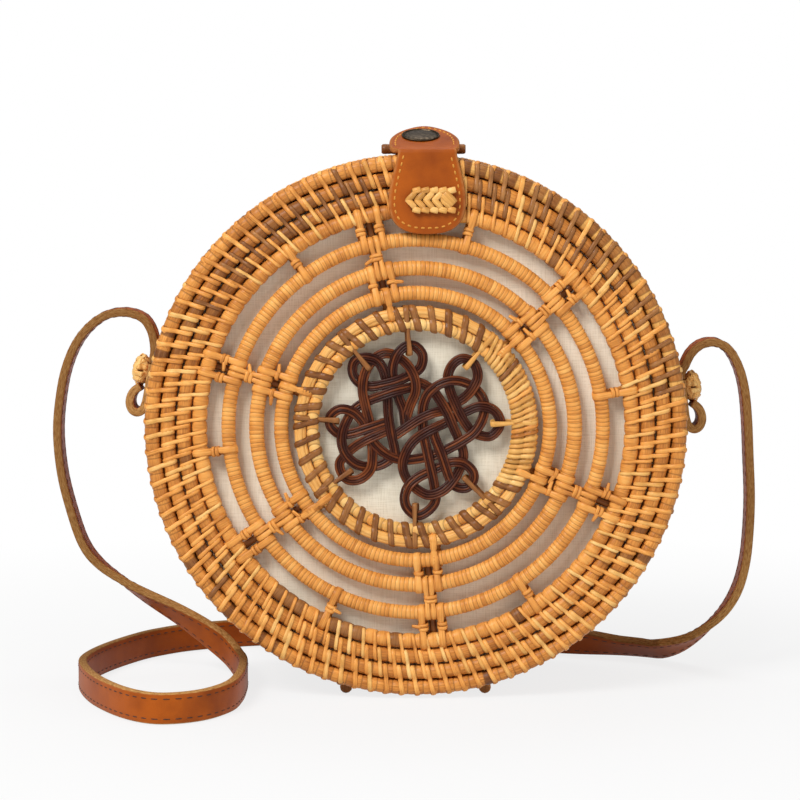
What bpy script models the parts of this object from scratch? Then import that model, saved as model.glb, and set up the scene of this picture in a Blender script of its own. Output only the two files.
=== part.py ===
"""Round rattan shoulder bag: two coiled shells hinged on lashings, an openwork face, a snap closure and a strap."""

import math

import bmesh
import bpy
from mathutils import Matrix, Vector

# Sizes in metres. The front looks along -Y, +Z is up, and the halves meet at y = 0.
BAG_RADIUS = 0.100
HALF_DEPTH = 0.040
COIL_DIAMETER = 0.0058
BAND_COILS = 4
SIDE_COILS = 6
EDGE_GAP = 0.0003
LIFT = 0.0010
FIT_GAP = 0.0003
CUT_OVERRUN = 0.0020

# Openwork: the canes, the rings' middle lines as shares of the band's opening, and the hoop's space to the last ring
RING_OUTER_DIAMETER = 0.0052
RING_MIDDLE_DIAMETER = 0.0055
RING_INNER_DIAMETER = 0.0053
HOOP_COIL_DIAMETER = 0.0045
RING_PLACE_SHARES = (0.8983, 0.7634, 0.6448)
HOOP_SPACE = 0.0021

# Cane lashings on the openwork
LASHING_THICKNESS = 0.0007
LASHING_SLACK = 0.0004
PAIR_WIDTH = 0.0032
SINGLE_WIDTH = 0.0044
SINGLE_THICKNESS = 0.0005
SINGLE_SLACK = 0.0005
PAIR_OVERLAP = 0.0003
RIM_TIE_WIDTH = 0.0040
HOOP_TIE_WIDTH = 0.0041
SPOKE_TAB_GAP = 0.0036
FREE_SPOKE_CLOCKS = (48.0, 112.0, 175.0, 235.0, 287.0)
HOOP_TIE_SIDES = (0, 0, -1, -1, 0, 0)
RIM_TIE_TAB_GAP = 0.00105
FREE_RIM_TIE_CLOCKS = (80.0, 146.0, 205.0, 263.0, 324.0)

# Knot ornament, traced in pixels of the photograph about the window's centre
KNOT_BAND_PIXELS = 9.8
KNOT_BAND_THICKNESS = 0.0011
KNOT_LEVEL = 0.0004
KNOT_TIE_PIXELS = 6.0
KNOT_TIE_SLACK = 0.0003
KNOT_TIE_THICKNESS = 0.0005
WINDOW_PIXEL = (418.0, 428.0)
WINDOW_RADIUS_PIXELS = 97.0

# Canvas linings
LINING_THICKNESS = 0.0008
LINING_EDGE_SETBACK = 0.0078

# Hinge lashings
HINGE_SPACING = 0.0172
HINGE_WIDTH = 0.0030
HINGE_THICKNESS = 0.0006

# Runner feet
FOOT_SPACING = 0.0520
FOOT_LENGTH = 0.0220
FOOT_SETBACK = 0.0080

# Leather closure
TAB_THICKNESS = 0.0020
TAB_DROP = 0.0303
TAB_HALF_WIDTH = 0.0141
TAB_SIDE = 0.0042
FLAP_THICKNESS = 0.0018
FLAP_LENGTH = 0.0277
FLAP_HALF_WIDTH = 0.01285
FLAP_SIDE = 0.0032
FLAP_RISE_DEGREES = 18.2
BACK_TAB_THICKNESS = 0.0012
BACK_TAB_HALF_WIDTH = 0.0110
BACK_TAB_DROP = 0.0290
CLASP_BAR_DIAMETER = 0.0037
CLASP_BAR_LENGTH = 0.0313
CLASP_BAR_SETBACK = 0.0220
CLASP_BAR_SIDE = 0.0029
BRAID_LENGTH = 0.0180
BRAID_WIDTH = 0.0086
BRAID_THICKNESS = 0.0011
BRAID_DROP = 0.0165
BRAID_SIDE = 0.0017

# Snap
SNAP_SETBACK = 0.0130
SNAP_SIDE = 0.0018
SNAP_SPACE = 0.0020
CAP_DIAMETER = 0.0140
CAP_HEIGHT = 0.0019
RIVET_DIAMETER = 0.0026
SOCKET_DIAMETER = 0.0080
SOCKET_BORE = 0.0046
SOCKET_HEIGHT = 0.00105
SOCKET_ROOF = 0.00035
STUD_FLANGE_DIAMETER = 0.0050
STUD_FLANGE_HEIGHT = 0.00035
STUD_HEAD_DIAMETER = 0.0036
STUD_NECK_DIAMETER = 0.0030

# Strap, its knobs and its doubled ends
STRAP_WIDTH = 0.0110
STRAP_THICKNESS = 0.0032
KNOB_DIAMETER = 0.0110
KNOB_DEPTH = 0.0048
STEM_DIAMETER = 0.0020
END_LOOP_BEND = 0.0032
END_LOOP_DROP = 0.0178
END_LOOP_RISE = 0.0030
KNOB_CLOCK_LEFT = 279.7
KNOB_CLOCK_RIGHT = 83.7

ROUND_STEPS = 24
ROD_SIDES = 6

COIL_RADIUS = COIL_DIAMETER / 2
CENTRE_Z = LIFT + BAG_RADIUS
HALF_STEP = math.pi / ROUND_STEPS
RIM_TOP = CENTRE_Z + BAG_RADIUS
EDGE_COIL_Y = COIL_RADIUS + EDGE_GAP / 2
FACE_COIL_Y = HALF_DEPTH - COIL_RADIUS
SIDE_PITCH = (FACE_COIL_Y - EDGE_COIL_Y) / SIDE_COILS
CORNER_RADIUS = BAG_RADIUS - COIL_RADIUS
COIL_PITCH = 1.005 * COIL_DIAMETER
LIP_COIL_RADIUS = CORNER_RADIUS - (BAND_COILS - 1) * COIL_PITCH
WALL_INSIDE = BAG_RADIUS - COIL_DIAMETER
FACE_INSIDE = HALF_DEPTH - COIL_DIAMETER
VALLEY = 0.36 * COIL_RADIUS
LIP_VALLEY = 0.71 * COIL_RADIUS

OPENING_RADIUS = LIP_COIL_RADIUS - COIL_RADIUS
RING_OUTER, RING_MIDDLE, RING_INNER = (share * OPENING_RADIUS for share in RING_PLACE_SHARES)
HOOP_OUTER = RING_INNER - (RING_INNER_DIAMETER + HOOP_COIL_DIAMETER) / 2 - HOOP_SPACE
HOOP_INNER = HOOP_OUTER - HOOP_COIL_DIAMETER
WINDOW_RADIUS = HOOP_INNER - HOOP_COIL_DIAMETER / 2
PIXEL = WINDOW_RADIUS / WINDOW_RADIUS_PIXELS
KNOT_BAND_WIDTH = KNOT_BAND_PIXELS * PIXEL
KNOT_TIE_WIDTH = KNOT_TIE_PIXELS * PIXEL

# Clock directions of the lashings. The first rim tie and the last spoke lie just beside the front tab
PAIR_ASIDE = (SINGLE_WIDTH + PAIR_WIDTH) / 2 - PAIR_OVERLAP
SLOT_RADIUS = LIP_COIL_RADIUS + COIL_RADIUS
TIE_ASIDE = TAB_SIDE + TAB_HALF_WIDTH + RIM_TIE_TAB_GAP + RIM_TIE_WIDTH / 2
SPOKE_ASIDE = TAB_HALF_WIDTH - TAB_SIDE + SPOKE_TAB_GAP + PAIR_ASIDE + PAIR_WIDTH / 2
RIM_TIE_CLOCKS = (math.degrees(math.asin(TIE_ASIDE / SLOT_RADIUS)), *FREE_RIM_TIE_CLOCKS)
SPOKE_CLOCKS = (*FREE_SPOKE_CLOCKS, 360 - math.degrees(math.asin(SPOKE_ASIDE / SLOT_RADIUS)))

COLOURS = {
    "rattan_honey": ((0.62, 0.36, 0.13, 1), 0.5),
    "rattan_dark": ((0.12, 0.035, 0.015, 1), 0.4),
    "rattan_straw": ((0.80, 0.60, 0.28, 1), 0.5),
    "canvas": ((0.80, 0.77, 0.70, 1), 0.9),
    "leather": ((0.45, 0.16, 0.05, 1), 0.5),
    "bronze": ((0.16, 0.11, 0.07, 1), 0.3),
}


def clear_scene():
    for obj in list(bpy.data.objects):
        bpy.data.objects.remove(obj, do_unlink=True)


def new_collection(name):
    collection = bpy.data.collections.new(name)
    bpy.context.scene.collection.children.link(collection)
    return collection


def material_for(name, slot):
    colour, roughness = COLOURS[slot]
    material = bpy.data.materials.new(f"{name}_{slot}")
    material.use_nodes = True
    material.diffuse_color = colour
    shader = material.node_tree.nodes["Principled BSDF"]
    shader.inputs["Base Color"].default_value = colour
    shader.inputs["Roughness"].default_value = roughness
    shader.inputs["Metallic"].default_value = 1.0 if slot == "bronze" else 0.0
    return material


def add_mesh(name, points, faces, slot=None, edges=()):
    """A part when it has a material slot, or else a hidden helper for a Boolean."""
    mesh = bpy.data.meshes.new(name)
    mesh.from_pydata([tuple(point) for point in points], list(edges), list(faces))
    obj = bpy.data.objects.new(name, mesh)
    if slot:
        mesh.materials.append(material_for(name, slot))
        PARTS.objects.link(obj)
    else:
        CUTTERS.objects.link(obj)
        obj.hide_render = True
        obj.display_type = "WIRE"
    return obj


def face_out(obj):
    """Turns the faces of a closed mesh outwards."""
    work = bmesh.new()
    work.from_mesh(obj.data)
    bmesh.ops.recalc_face_normals(work, faces=work.faces)
    if work.calc_volume(signed=True) < 0:
        bmesh.ops.reverse_faces(work, faces=work.faces)
    work.to_mesh(obj.data)
    work.free()
    return obj


def boolean(obj, other, operation="DIFFERENCE", own_crossings=False):
    modifier = obj.modifiers.new(f"{operation.lower()} {other.name}", "BOOLEAN")
    modifier.operation = operation
    modifier.solver = "EXACT"
    modifier.use_self = own_crossings
    modifier.object = other


def spin(obj, axis, steps, flip):
    screw = obj.modifiers.new("turn", "SCREW")
    screw.axis = axis
    screw.angle = 2 * math.pi
    screw.steps = steps
    screw.render_steps = steps
    screw.screw_offset = 0
    screw.use_merge_vertices = True
    screw.merge_threshold = 0.00001
    screw.use_normal_calculate = False
    screw.use_normal_flip = flip
    screw.use_smooth_shade = False


def one_way_round(profile):
    """The profile's points in counter-clockwise order, so that every turned piece faces outwards."""
    ahead = profile[1:] + profile[:1]
    area = sum(a[0] * b[1] - b[0] * a[1] for a, b in zip(profile, ahead))
    return profile if area > 0 else profile[::-1]


def turned(name, profile, slot):
    """Revolves (radius, y) points round the bag's axis. A flat facet lies at the top, bottom and sides."""
    profile = one_way_round(profile)
    closed = all(radius > 0 for radius, _ in profile)
    points = [(radius, y, radius * math.tan(HALF_STEP)) for radius, y in profile]
    count = len(points)
    edges = [(i, (i + 1) % count) for i in range(count if closed else count - 1)]
    obj = add_mesh(name, points, (), slot, edges)
    obj.location = (0, 0, CENTRE_Z)
    spin(obj, "Y", ROUND_STEPS, True)
    return obj


def lathe(name, profile, slot, steps, place):
    """Revolves (radius, height) points round the local Z axis of a placing matrix."""
    profile = one_way_round(profile)
    closed = all(radius > 0 for radius, _ in profile)
    count = len(profile)
    edges = [(i, (i + 1) % count) for i in range(count if closed else count - 1)]
    obj = add_mesh(name, [(radius, 0, height) for radius, height in profile], (), slot, edges)
    obj.matrix_world = place
    spin(obj, "Z", steps, True)
    return obj


def arc(radius, y, size, angles):
    """Points on a coil's section. 0 faces outwards, 90 the front, 180 the axis and 270 the back."""
    return [
        (radius + size * math.cos(math.radians(a)), y - size * math.sin(math.radians(a)))
        for a in angles
    ]


def mirrored(profile):
    return [(radius, -y) for radius, y in profile]


def clock_axes(clock):
    """Unit vectors outwards and clockwise, as seen from the front."""
    turn = math.radians(clock)
    return Vector((math.sin(turn), 0, math.cos(turn))), Vector((math.cos(turn), 0, -math.sin(turn)))


def facet_reach(radius, clock, aside):
    """How far out a turned piece's facets lie along a clock direction, at a distance to its side."""
    step = 2 * HALF_STEP
    turn = math.radians(clock)
    nearest = round(turn / step)
    return min(
        (radius - aside * math.sin(k * step - turn)) / math.cos(k * step - turn)
        for k in (nearest - 1, nearest, nearest + 1)
    )


def middle_reach(radius, clock, aside, width):
    ends = [facet_reach(radius, clock, aside + share * width) for share in (-0.5, -0.25, 0, 0.25, 0.5)]
    return (min(ends) + max(ends)) / 2


def strict_hull(points):
    """The indices of the corners of a convex hull, counter-clockwise, without those on its sides."""
    order = sorted(range(len(points)), key=lambda i: points[i])
    size = max(max(abs(a), abs(b)) for a, b in points)

    def half(indices):
        chain = []
        for i in indices:
            while len(chain) > 1:
                (ax, ay), (bx, by), (cx, cy) = points[chain[-2]], points[chain[-1]], points[i]
                if (bx - ax) * (cy - ay) - (by - ay) * (cx - ax) > 1e-5 * size * size:
                    break
                chain.pop()
            chain.append(i)
        return chain[:-1]

    return half(order) + half(order[::-1])


def loop_outlines(rods, slack, thickness, sides=8):
    """The inner and outer outline of a cane loop pulled round parallel rods, given as (along, across, radius)."""
    grow = 1 / math.cos(math.pi / sides)
    first = 0.5 if sides % 4 == 0 else 0
    turns = [2 * math.pi * (k + first) / sides for k in range(sides)]

    def corners(extra):
        return [
            (s + (r + extra) * grow * math.cos(t), w + (r + extra) * grow * math.sin(t))
            for s, w, r in rods
            for t in turns
        ]

    inner, outer = corners(slack), corners(slack + thickness)
    keep = strict_hull(inner)
    return [inner[i] for i in keep], [outer[i] for i in keep]


def loop_mesh(rods, slack, thickness, width, frame, sides=8):
    """Points and faces of such a loop. The frame is (origin, along, across, aside)."""
    origin, along, across, aside = frame
    inner, outer = loop_outlines(rods, slack, thickness, sides)
    points = [
        origin + along * s + across * w + aside * (side * width)
        for side in (-0.5, 0.5)
        for outline in (inner, outer)
        for s, w in outline
    ]
    count = len(inner)
    faces = []
    for i in range(count):
        j = (i + 1) % count
        a, b, c, d = i, j, count + j, count + i
        e, f, g, h = (v + 2 * count for v in (a, b, c, d))
        faces += [(a, b, c, d), (h, g, f, e), (a, e, f, b), (d, c, g, h)]
    return points, faces


def add_loop(name, rods, slack, thickness, width, frame, slot=None, sides=8):
    return face_out(add_mesh(name, *loop_mesh(rods, slack, thickness, width, frame, sides), slot))


def prism(name, outline, frame, thickness, slot=None):
    """An outline in the frame's first two directions, made thick to both sides along the third."""
    origin, along, across, aside = frame
    count = len(outline)
    points = [
        origin + along * s + across * w + aside * (side * thickness)
        for side in (-0.5, 0.5)
        for s, w in outline
    ]
    faces = [tuple(range(count)), tuple(range(2 * count - 1, count - 1, -1))]
    faces += [(i, (i + 1) % count, count + (i + 1) % count, count + i) for i in range(count)]
    return face_out(add_mesh(name, points, faces, slot))


def ribbon(name, sections, slot=None):
    """A band through sections of (centre, half width vector, half thickness vector)."""
    points = []
    for centre, wide, thick in sections:
        points += [centre - wide - thick, centre + wide - thick, centre + wide + thick, centre - wide + thick]
    faces = [(0, 1, 2, 3)]
    for i in range(len(sections) - 1):
        for k in range(4):
            a, b = 4 * i + k, 4 * i + (k + 1) % 4
            faces.append((a, b, b + 4, a + 4))
    last = 4 * (len(sections) - 1)
    faces.append((last + 3, last + 2, last + 1, last))
    return face_out(add_mesh(name, points, faces, slot))


def bent_strip(name, path, widths, thickness, middle_x, slot):
    """A leather strip bent in the YZ plane. Its path holds (y, z) points on its middle line."""
    sections = []
    for i, (y, z) in enumerate(path):
        before, after = path[max(i - 1, 0)], path[min(i + 1, len(path) - 1)]
        run = Vector((0, after[0] - before[0], after[1] - before[1])).normalized()
        sides = [
            Vector((0, b[0] - a[0], b[1] - a[1])).normalized()
            for a, b in ((before, (y, z)), ((y, z), after))
            if a != b
        ]
        mitre = 1 / max(run.dot(sides[0]), 0.5)
        across = Vector((0, -run.z, run.y)) * (thickness / 2 * mitre)
        sections.append((Vector((middle_x, y, z)), Vector((widths[i], 0, 0)), across))
    return ribbon(name, sections, slot)


def rod(name, start, end, radius, sides, slot=None, turn=0.5):
    """A straight rod whose flats lie at its radius."""
    start, end = Vector(start), Vector(end)
    along = (end - start).normalized()
    across = along.cross(Vector((0, 0, 1)) if abs(along.z) < 0.9 else Vector((0, 1, 0))).normalized()
    outline = [
        (
            radius / math.cos(math.pi / sides) * math.cos(2 * math.pi * (k + turn) / sides),
            radius / math.cos(math.pi / sides) * math.sin(2 * math.pi * (k + turn) / sides),
        )
        for k in range(sides)
    ]
    frame = ((start + end) / 2, across, along.cross(across), along)
    return prism(name, outline, frame, (end - start).length, slot)


def half_shell_side():
    """The outer side of one half, from the corner coil to its edge and back along the inner wall."""
    points = arc(CORNER_RADIUS, -FACE_COIL_Y, COIL_RADIUS, (135, 90, 45, 0))
    for k in range(1, SIDE_COILS + 1):
        y = -FACE_COIL_Y + k * SIDE_PITCH
        points.append((CORNER_RADIUS + VALLEY, y - SIDE_PITCH / 2))
        points += arc(CORNER_RADIUS, y, COIL_RADIUS, (0,))
    points += arc(CORNER_RADIUS, -EDGE_COIL_Y, COIL_RADIUS, (-45, -90, -135, -180))
    points.append((WALL_INSIDE, -FACE_INSIDE))
    return points


def front_shell():
    profile = []
    for k in range(BAND_COILS - 1, 0, -1):
        radius = CORNER_RADIUS - k * COIL_PITCH
        profile += arc(radius, -FACE_COIL_Y, COIL_RADIUS, (135, 90, 45))
        profile.append((radius + COIL_PITCH / 2, -FACE_COIL_Y - VALLEY))
    profile += half_shell_side()
    profile.append((LIP_COIL_RADIUS + COIL_PITCH, -FACE_INSIDE))
    profile.append((LIP_COIL_RADIUS + COIL_PITCH / 2, -FACE_COIL_Y + LIP_VALLEY))
    profile += arc(LIP_COIL_RADIUS, -FACE_COIL_Y, COIL_RADIUS, (270, 225, 180))
    return turned("front_shell", profile, "rattan_honey")


def back_shell():
    profile = half_shell_side()
    disc = []
    radius = CORNER_RADIUS - COIL_PITCH
    while radius > COIL_PITCH:
        disc += [(radius, -HALF_DEPTH), (radius + COIL_PITCH / 2, -FACE_COIL_Y - VALLEY)]
        radius -= COIL_PITCH
    disc.reverse()
    profile = [(0, -HALF_DEPTH)] + disc + profile[1:] + [(0, -FACE_INSIDE)]
    return turned("back_shell", mirrored(profile), "rattan_honey")


def ring(name, radius, diameter):
    profile = arc(radius, -FACE_COIL_Y, diameter / 2, [90 + 360 * k / ROD_SIDES for k in range(ROD_SIDES)])
    return turned(name, profile, "rattan_honey")


def centre_hoop():
    size = HOOP_COIL_DIAMETER / 2
    waist = (HOOP_INNER + HOOP_OUTER) / 2
    profile = arc(HOOP_INNER, -FACE_COIL_Y, size, (90, 145, 215, 270))
    profile.append((waist, -FACE_COIL_Y + 0.6 * size))
    profile += arc(HOOP_OUTER, -FACE_COIL_Y, size, (270, 325, 35, 90))
    profile.append((waist, -FACE_COIL_Y - 0.6 * size))
    return turned("centre_hoop", profile, "rattan_straw")


def lining(name, facing):
    """A canvas cup inside one half. The disc of the front one stays clear of the lashings."""
    reach = WALL_INSIDE - FIT_GAP
    behind = FACE_INSIDE - FIT_GAP
    if facing < 0:
        behind -= LASHING_SLACK + LASHING_THICKNESS
    profile = [
        (0, behind),
        (reach, behind),
        (reach, LINING_EDGE_SETBACK),
        (reach - LINING_THICKNESS, LINING_EDGE_SETBACK),
        (reach - LINING_THICKNESS, behind - LINING_THICKNESS),
        (0, behind - LINING_THICKNESS),
    ]
    profile = [(radius, facing * y) for radius, y in profile]
    return turned(name, profile, "canvas")


def clock_frame(clock, aside=0.0):
    out, clockwise = clock_axes(clock)
    return Vector((0, -FACE_COIL_Y, CENTRE_Z)) + clockwise * aside, out, Vector((0, -1, 0)), clockwise


def rods_at(rings, clock, aside, width):
    return [(middle_reach(radius, clock, aside, width), 0.0, size) for radius, size in rings]


def lashing_loop(name, rings, clock, aside, width, slack, thickness, slot=None, sides=8):
    rods = rods_at(rings, clock, aside, width)
    return add_loop(name, rods, slack, thickness, width, clock_frame(clock, aside), slot, sides)


def lashing_slots():
    """One hidden mesh of boxes where lashings pass between the last two coils of the front band."""
    asides = [(clock, side * PAIR_ASIDE, PAIR_WIDTH) for clock in SPOKE_CLOCKS for side in (-1, 1)]
    asides += [(clock, 0.0, RIM_TIE_WIDTH) for clock in RIM_TIE_CLOCKS]
    points, faces = [], []
    for clock, aside, width in asides:
        origin, out, _, clockwise = clock_frame(clock, aside)
        seat = middle_reach(LIP_COIL_RADIUS, clock, aside, width)
        near = seat + COIL_RADIUS * 0.8
        far = seat + COIL_RADIUS + LASHING_SLACK + LASHING_THICKNESS + FIT_GAP
        half = width / 2 + FIT_GAP
        depth = COIL_RADIUS + CUT_OVERRUN
        first = len(points)
        for y in (-depth, depth):
            for s, w in ((near, -half), (far, -half), (far, half), (near, half)):
                points.append(origin + out * s + clockwise * w + Vector((0, y, 0)))
        for face in ((0, 1, 2, 3), (7, 6, 5, 4), (0, 4, 5, 1), (1, 5, 6, 2), (2, 6, 7, 3), (3, 7, 4, 0)):
            faces.append(tuple(first + v for v in face))
    return face_out(add_mesh("lashing_slots", points, faces))


def spoke_lashing(number, clock):
    lip = (LIP_COIL_RADIUS, COIL_RADIUS)
    outer = (RING_OUTER, RING_OUTER_DIAMETER / 2)
    middle = (RING_MIDDLE, RING_MIDDLE_DIAMETER / 2)
    inner = (RING_INNER, RING_INNER_DIAMETER / 2)
    hoop = (HOOP_OUTER, HOOP_COIL_DIAMETER / 2)
    hoop_in = (HOOP_INNER, HOOP_COIL_DIAMETER / 2)
    name = f"spoke_lashing_{number}"
    pair = (PAIR_WIDTH, LASHING_SLACK, LASHING_THICKNESS)
    single = (SINGLE_WIDTH, SINGLE_SLACK, SINGLE_THICKNESS)
    body = lashing_loop(name, (outer, middle), clock, 0.0, *single, "rattan_honey", sides=6)
    hoop_aside = HOOP_TIE_SIDES[number - 1] * PAIR_ASIDE
    hoop_tie = (HOOP_TIE_WIDTH, SINGLE_SLACK, SINGLE_THICKNESS)
    others = [lashing_loop(f"{name}_hoop", (inner, hoop, hoop_in), clock, hoop_aside, *hoop_tie)]
    for side in (-1, 1):
        others.append(lashing_loop(f"{name}_pair_a{side}", (middle, inner), clock, side * PAIR_ASIDE, *pair))
        others.append(lashing_loop(f"{name}_pair_b{side}", (lip, outer), clock, side * PAIR_ASIDE, *pair))
    for other in (others[1], others[3], others[0], others[2], others[4]):
        boolean(body, other, "UNION")


def rim_tie(number, clock):
    rings = ((LIP_COIL_RADIUS, COIL_RADIUS), (RING_OUTER, RING_OUTER_DIAMETER / 2))
    name = f"rim_tie_{number}"
    lashing_loop(name, rings, clock, 0.0, RIM_TIE_WIDTH, LASHING_SLACK, LASHING_THICKNESS, "rattan_honey")


# Middle lines of the ornament's cane bands: photograph x, y, and 1 over, -1 under or 0 beside what it crosses
KNOT_PIXELS = {
    "upper_a": (
        (406, 424, 0), (406, 412, 0), (401, 398, -1), (397, 384, -1), (395, 370, 0), (399, 356, 1),
        (408, 347, 0), (418, 347, 0), (425, 356, 0), (423, 368, 0), (414, 375, -1), (400, 381, 1),
        (385, 385, 1), (373, 387, -1), (361, 383, -1), (355, 373, 0), (357, 362, 0), (367, 358, 1),
        (379, 361, 0), (386, 371, 0), (389, 385, -1), (390, 402, -1), (391, 418, 0), (394, 436, 1),
        (397, 450, 0),
    ),
    "upper_b": (
        (408, 420, 0), (413, 405, 1), (418, 392, 1), (417, 379, 1), (410, 366, 0), (399, 357, -1),
        (387, 354, 0), (375, 361, -1), (367, 375, 0), (365, 391, 1), (368, 407, 1), (372, 424, -1),
        (374, 440, -1), (375, 455, 0), (373, 470, 1), (363, 480, 0), (351, 481, 0), (344, 474, 0),
        (342, 464, -1), (349, 455, -1), (358, 447, 0), (370, 440, 1), (388, 432, 0),
    ),
    "upper_c": (
        (400, 421, 0), (385, 424, 0), (370, 429, 1), (355, 434, 0), (342, 435, -1), (333, 427, 0),
        (333, 417, 0), (342, 410, 1), (354, 412, 1), (364, 421, 0), (370, 433, 0), (378, 446, 0),
        (390, 456, 0), (405, 461, 0), (425, 459, -1), (440, 455, -1), (452, 449, 0), (463, 443, 1),
        (476, 434, 1), (484, 422, 0), (487, 410, -1), (485, 399, 0), (477, 389, -1), (467, 383, 0),
        (455, 381, 1), (442, 385, 1), (431, 394, 0), (426, 405, 0), (425, 418, -1), (426, 435, -1),
        (429, 450, 1), (433, 468, 1), (437, 487, -1), (438, 502, 0), (431, 512, 0), (420, 517, 0),
        (410, 510, 0), (407, 499, 1), (411, 487, 1), (420, 479, 0), (432, 473, -1), (445, 467, -1),
        (455, 463, 1), (466, 464, 1), (475, 472, 0), (476, 481, 0), (469, 489, 0), (459, 488, -1),
        (453, 481, 0), (449, 470, 1), (444, 455, 1), (438, 440, 0), (435, 430, -1),
    ),
    "upper_d": (
        (414, 388, -1), (400, 391, 1), (385, 396, 1), (370, 402, -1), (357, 410, -1), (348, 424, 0),
        (344, 440, 1), (348, 455, 1), (358, 465, 0), (370, 468, -1), (383, 466, 0), (396, 458, 0),
    ),
    "lower_a": (
        (402, 433, 0), (420, 421, 0), (435, 414, 1), (447, 411, -1), (456, 405, -1), (466, 399, 0),
        (475, 389, 1), (480, 377, 0), (476, 364, 0), (465, 359, 0), (455, 365, 0), (450, 377, -1),
        (452, 390, -1), (457, 403, 1), (464, 418, 1), (473, 431, -1), (482, 436, 0), (493, 437, 0),
        (501, 429, 0), (502, 419, 0), (495, 410, 0), (483, 407, 1), (471, 411, 0), (460, 417, -1),
        (447, 424, -1), (432, 431, 1), (418, 440, 0), (409, 452, 1), (405, 465, 1), (408, 478, 0),
        (416, 488, -1), (430, 496, 1), (445, 492, 1), (456, 481, 0), (463, 468, -1), (466, 455, 0),
        (462, 442, -1), (456, 428, 1), (450, 414, 1), (443, 402, 0), (436, 392, -1), (428, 386, 0),
    ),
}
# Clock direction of each tie, and how far out in pixels it takes the ornament
KNOT_TIES = (
    (355.0, 80.5), (39.5, 85.0), (87.0, 83.5), (135.5, 77.5),
    (180.0, 85.0), (235.5, 85.0), (274.5, 85.0), (321.0, 74.5),
)


def knot_point(x, y, level):
    across, down = (x - WINDOW_PIXEL[0]) * PIXEL, (y - WINDOW_PIXEL[1]) * PIXEL
    return Vector((across, -FACE_COIL_Y - level * KNOT_LEVEL, CENTRE_Z - down))


def knot_band(name, pixels, slot=None):
    centres = [knot_point(*pixel) for pixel in pixels]
    sections = []
    for i, centre in enumerate(centres):
        before = centre - centres[i - 1] if i else centres[1] - centre
        after = centres[i + 1] - centre if i + 1 < len(centres) else before
        run = before.normalized() + after.normalized()
        flat = Vector((run.x, 0, run.z)).normalized()
        wide = Vector((flat.z, 0, -flat.x)) * (KNOT_BAND_WIDTH / 2)
        sections.append((centre, wide, Vector((0, KNOT_BAND_THICKNESS / 2, 0))))
    return ribbon(name, sections, slot)


def knot_ornament():
    names = list(KNOT_PIXELS)
    ornament = knot_band("knot_ornament", KNOT_PIXELS[names[0]], "rattan_dark")
    for name in names[1:]:
        boolean(ornament, knot_band(f"knot_{name}", KNOT_PIXELS[name]), "UNION", own_crossings=True)


def knot_tie(number, clock, reach_pixels):
    """A narrow loop round the hoop and one outer bend of the ornament."""
    hoop = HOOP_COIL_DIAMETER / 2
    rods = rods_at(((HOOP_OUTER, hoop), (HOOP_INNER, hoop)), clock, 0.0, KNOT_TIE_WIDTH)
    half = KNOT_BAND_THICKNESS / 2 + KNOT_LEVEL
    for side in (-1, 1):
        rods.append((reach_pixels * PIXEL + side * (0.6 * KNOT_BAND_WIDTH - half), 0.0, half))
    frame = clock_frame(clock)
    slot = "rattan_straw" if number in (2, 3) else "rattan_dark"
    add_loop(f"knot_tie_{number}", rods, KNOT_TIE_SLACK, KNOT_TIE_THICKNESS, KNOT_TIE_WIDTH, frame, slot)


def hinge(front, back):
    """Cane loops round both edge coils, and the slots that they pass through."""
    bottom = CENTRE_Z - CORNER_RADIUS
    for side, word in ((-1, "left"), (1, "right")):
        frame = (Vector((side * HINGE_SPACING / 2, 0, bottom)), Vector((0, 1, 0)), Vector((0, 0, 1)), Vector((1, 0, 0)))
        rods = [(-EDGE_COIL_Y, 0.0, COIL_RADIUS), (EDGE_COIL_Y, 0.0, COIL_RADIUS)]
        add_loop(f"hinge_lashing_{word}", rods, FIT_GAP, HINGE_THICKNESS, HINGE_WIDTH, frame, "rattan_honey")
        for shell, rod_at, half in ((front, rods[:1], "front"), (back, rods[1:], "back")):
            depth = HINGE_THICKNESS + 3 * FIT_GAP
            width = HINGE_WIDTH + 2 * FIT_GAP
            slot = add_loop(f"hinge_slot_{half}_{word}", rod_at, FIT_GAP / 6, depth, width, frame, None)
            boolean(shell, slot)


def foot_radius():
    """A runner that stands on the floor and just clears the wall's second facet."""
    tilt = 2 * HALF_STEP
    room = FOOT_SPACING / 2 * math.sin(tilt) + CENTRE_Z * math.cos(tilt) - BAG_RADIUS - FIT_GAP
    corner = math.cos(math.pi / 8 - tilt) / math.cos(math.pi / 8)
    return room / (math.cos(tilt) + corner)


def feet():
    radius = foot_radius()
    for side, word in ((-1, "left"), (1, "right")):
        for facing, half in ((-1, "front"), (1, "back")):
            x = side * FOOT_SPACING / 2
            ends = [(x, facing * y, radius) for y in (FOOT_SETBACK, FOOT_SETBACK + FOOT_LENGTH)]
            rod(f"foot_{half}_{word}", *ends, radius, 8, "rattan_honey")


# Shares of the tabs' lengths and half widths
TAB_SHARES = ((0, 0.73), (0.2, 0.86), (0.45, 0.98), (0.66, 1.0), (0.8, 0.93), (0.91, 0.72), (0.97, 0.45), (1, 0.2))
FLAP_SHARES = ((-0.03, 0.78), (0, 0.8), (0.12, 0.93), (0.3, 1.0), (0.66, 1.0), (0.83, 0.88), (0.94, 0.6), (1, 0.25))
BACK_END_SHARES = ((0.55, 1.0), (0.82, 0.86), (1, 0.45))

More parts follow.
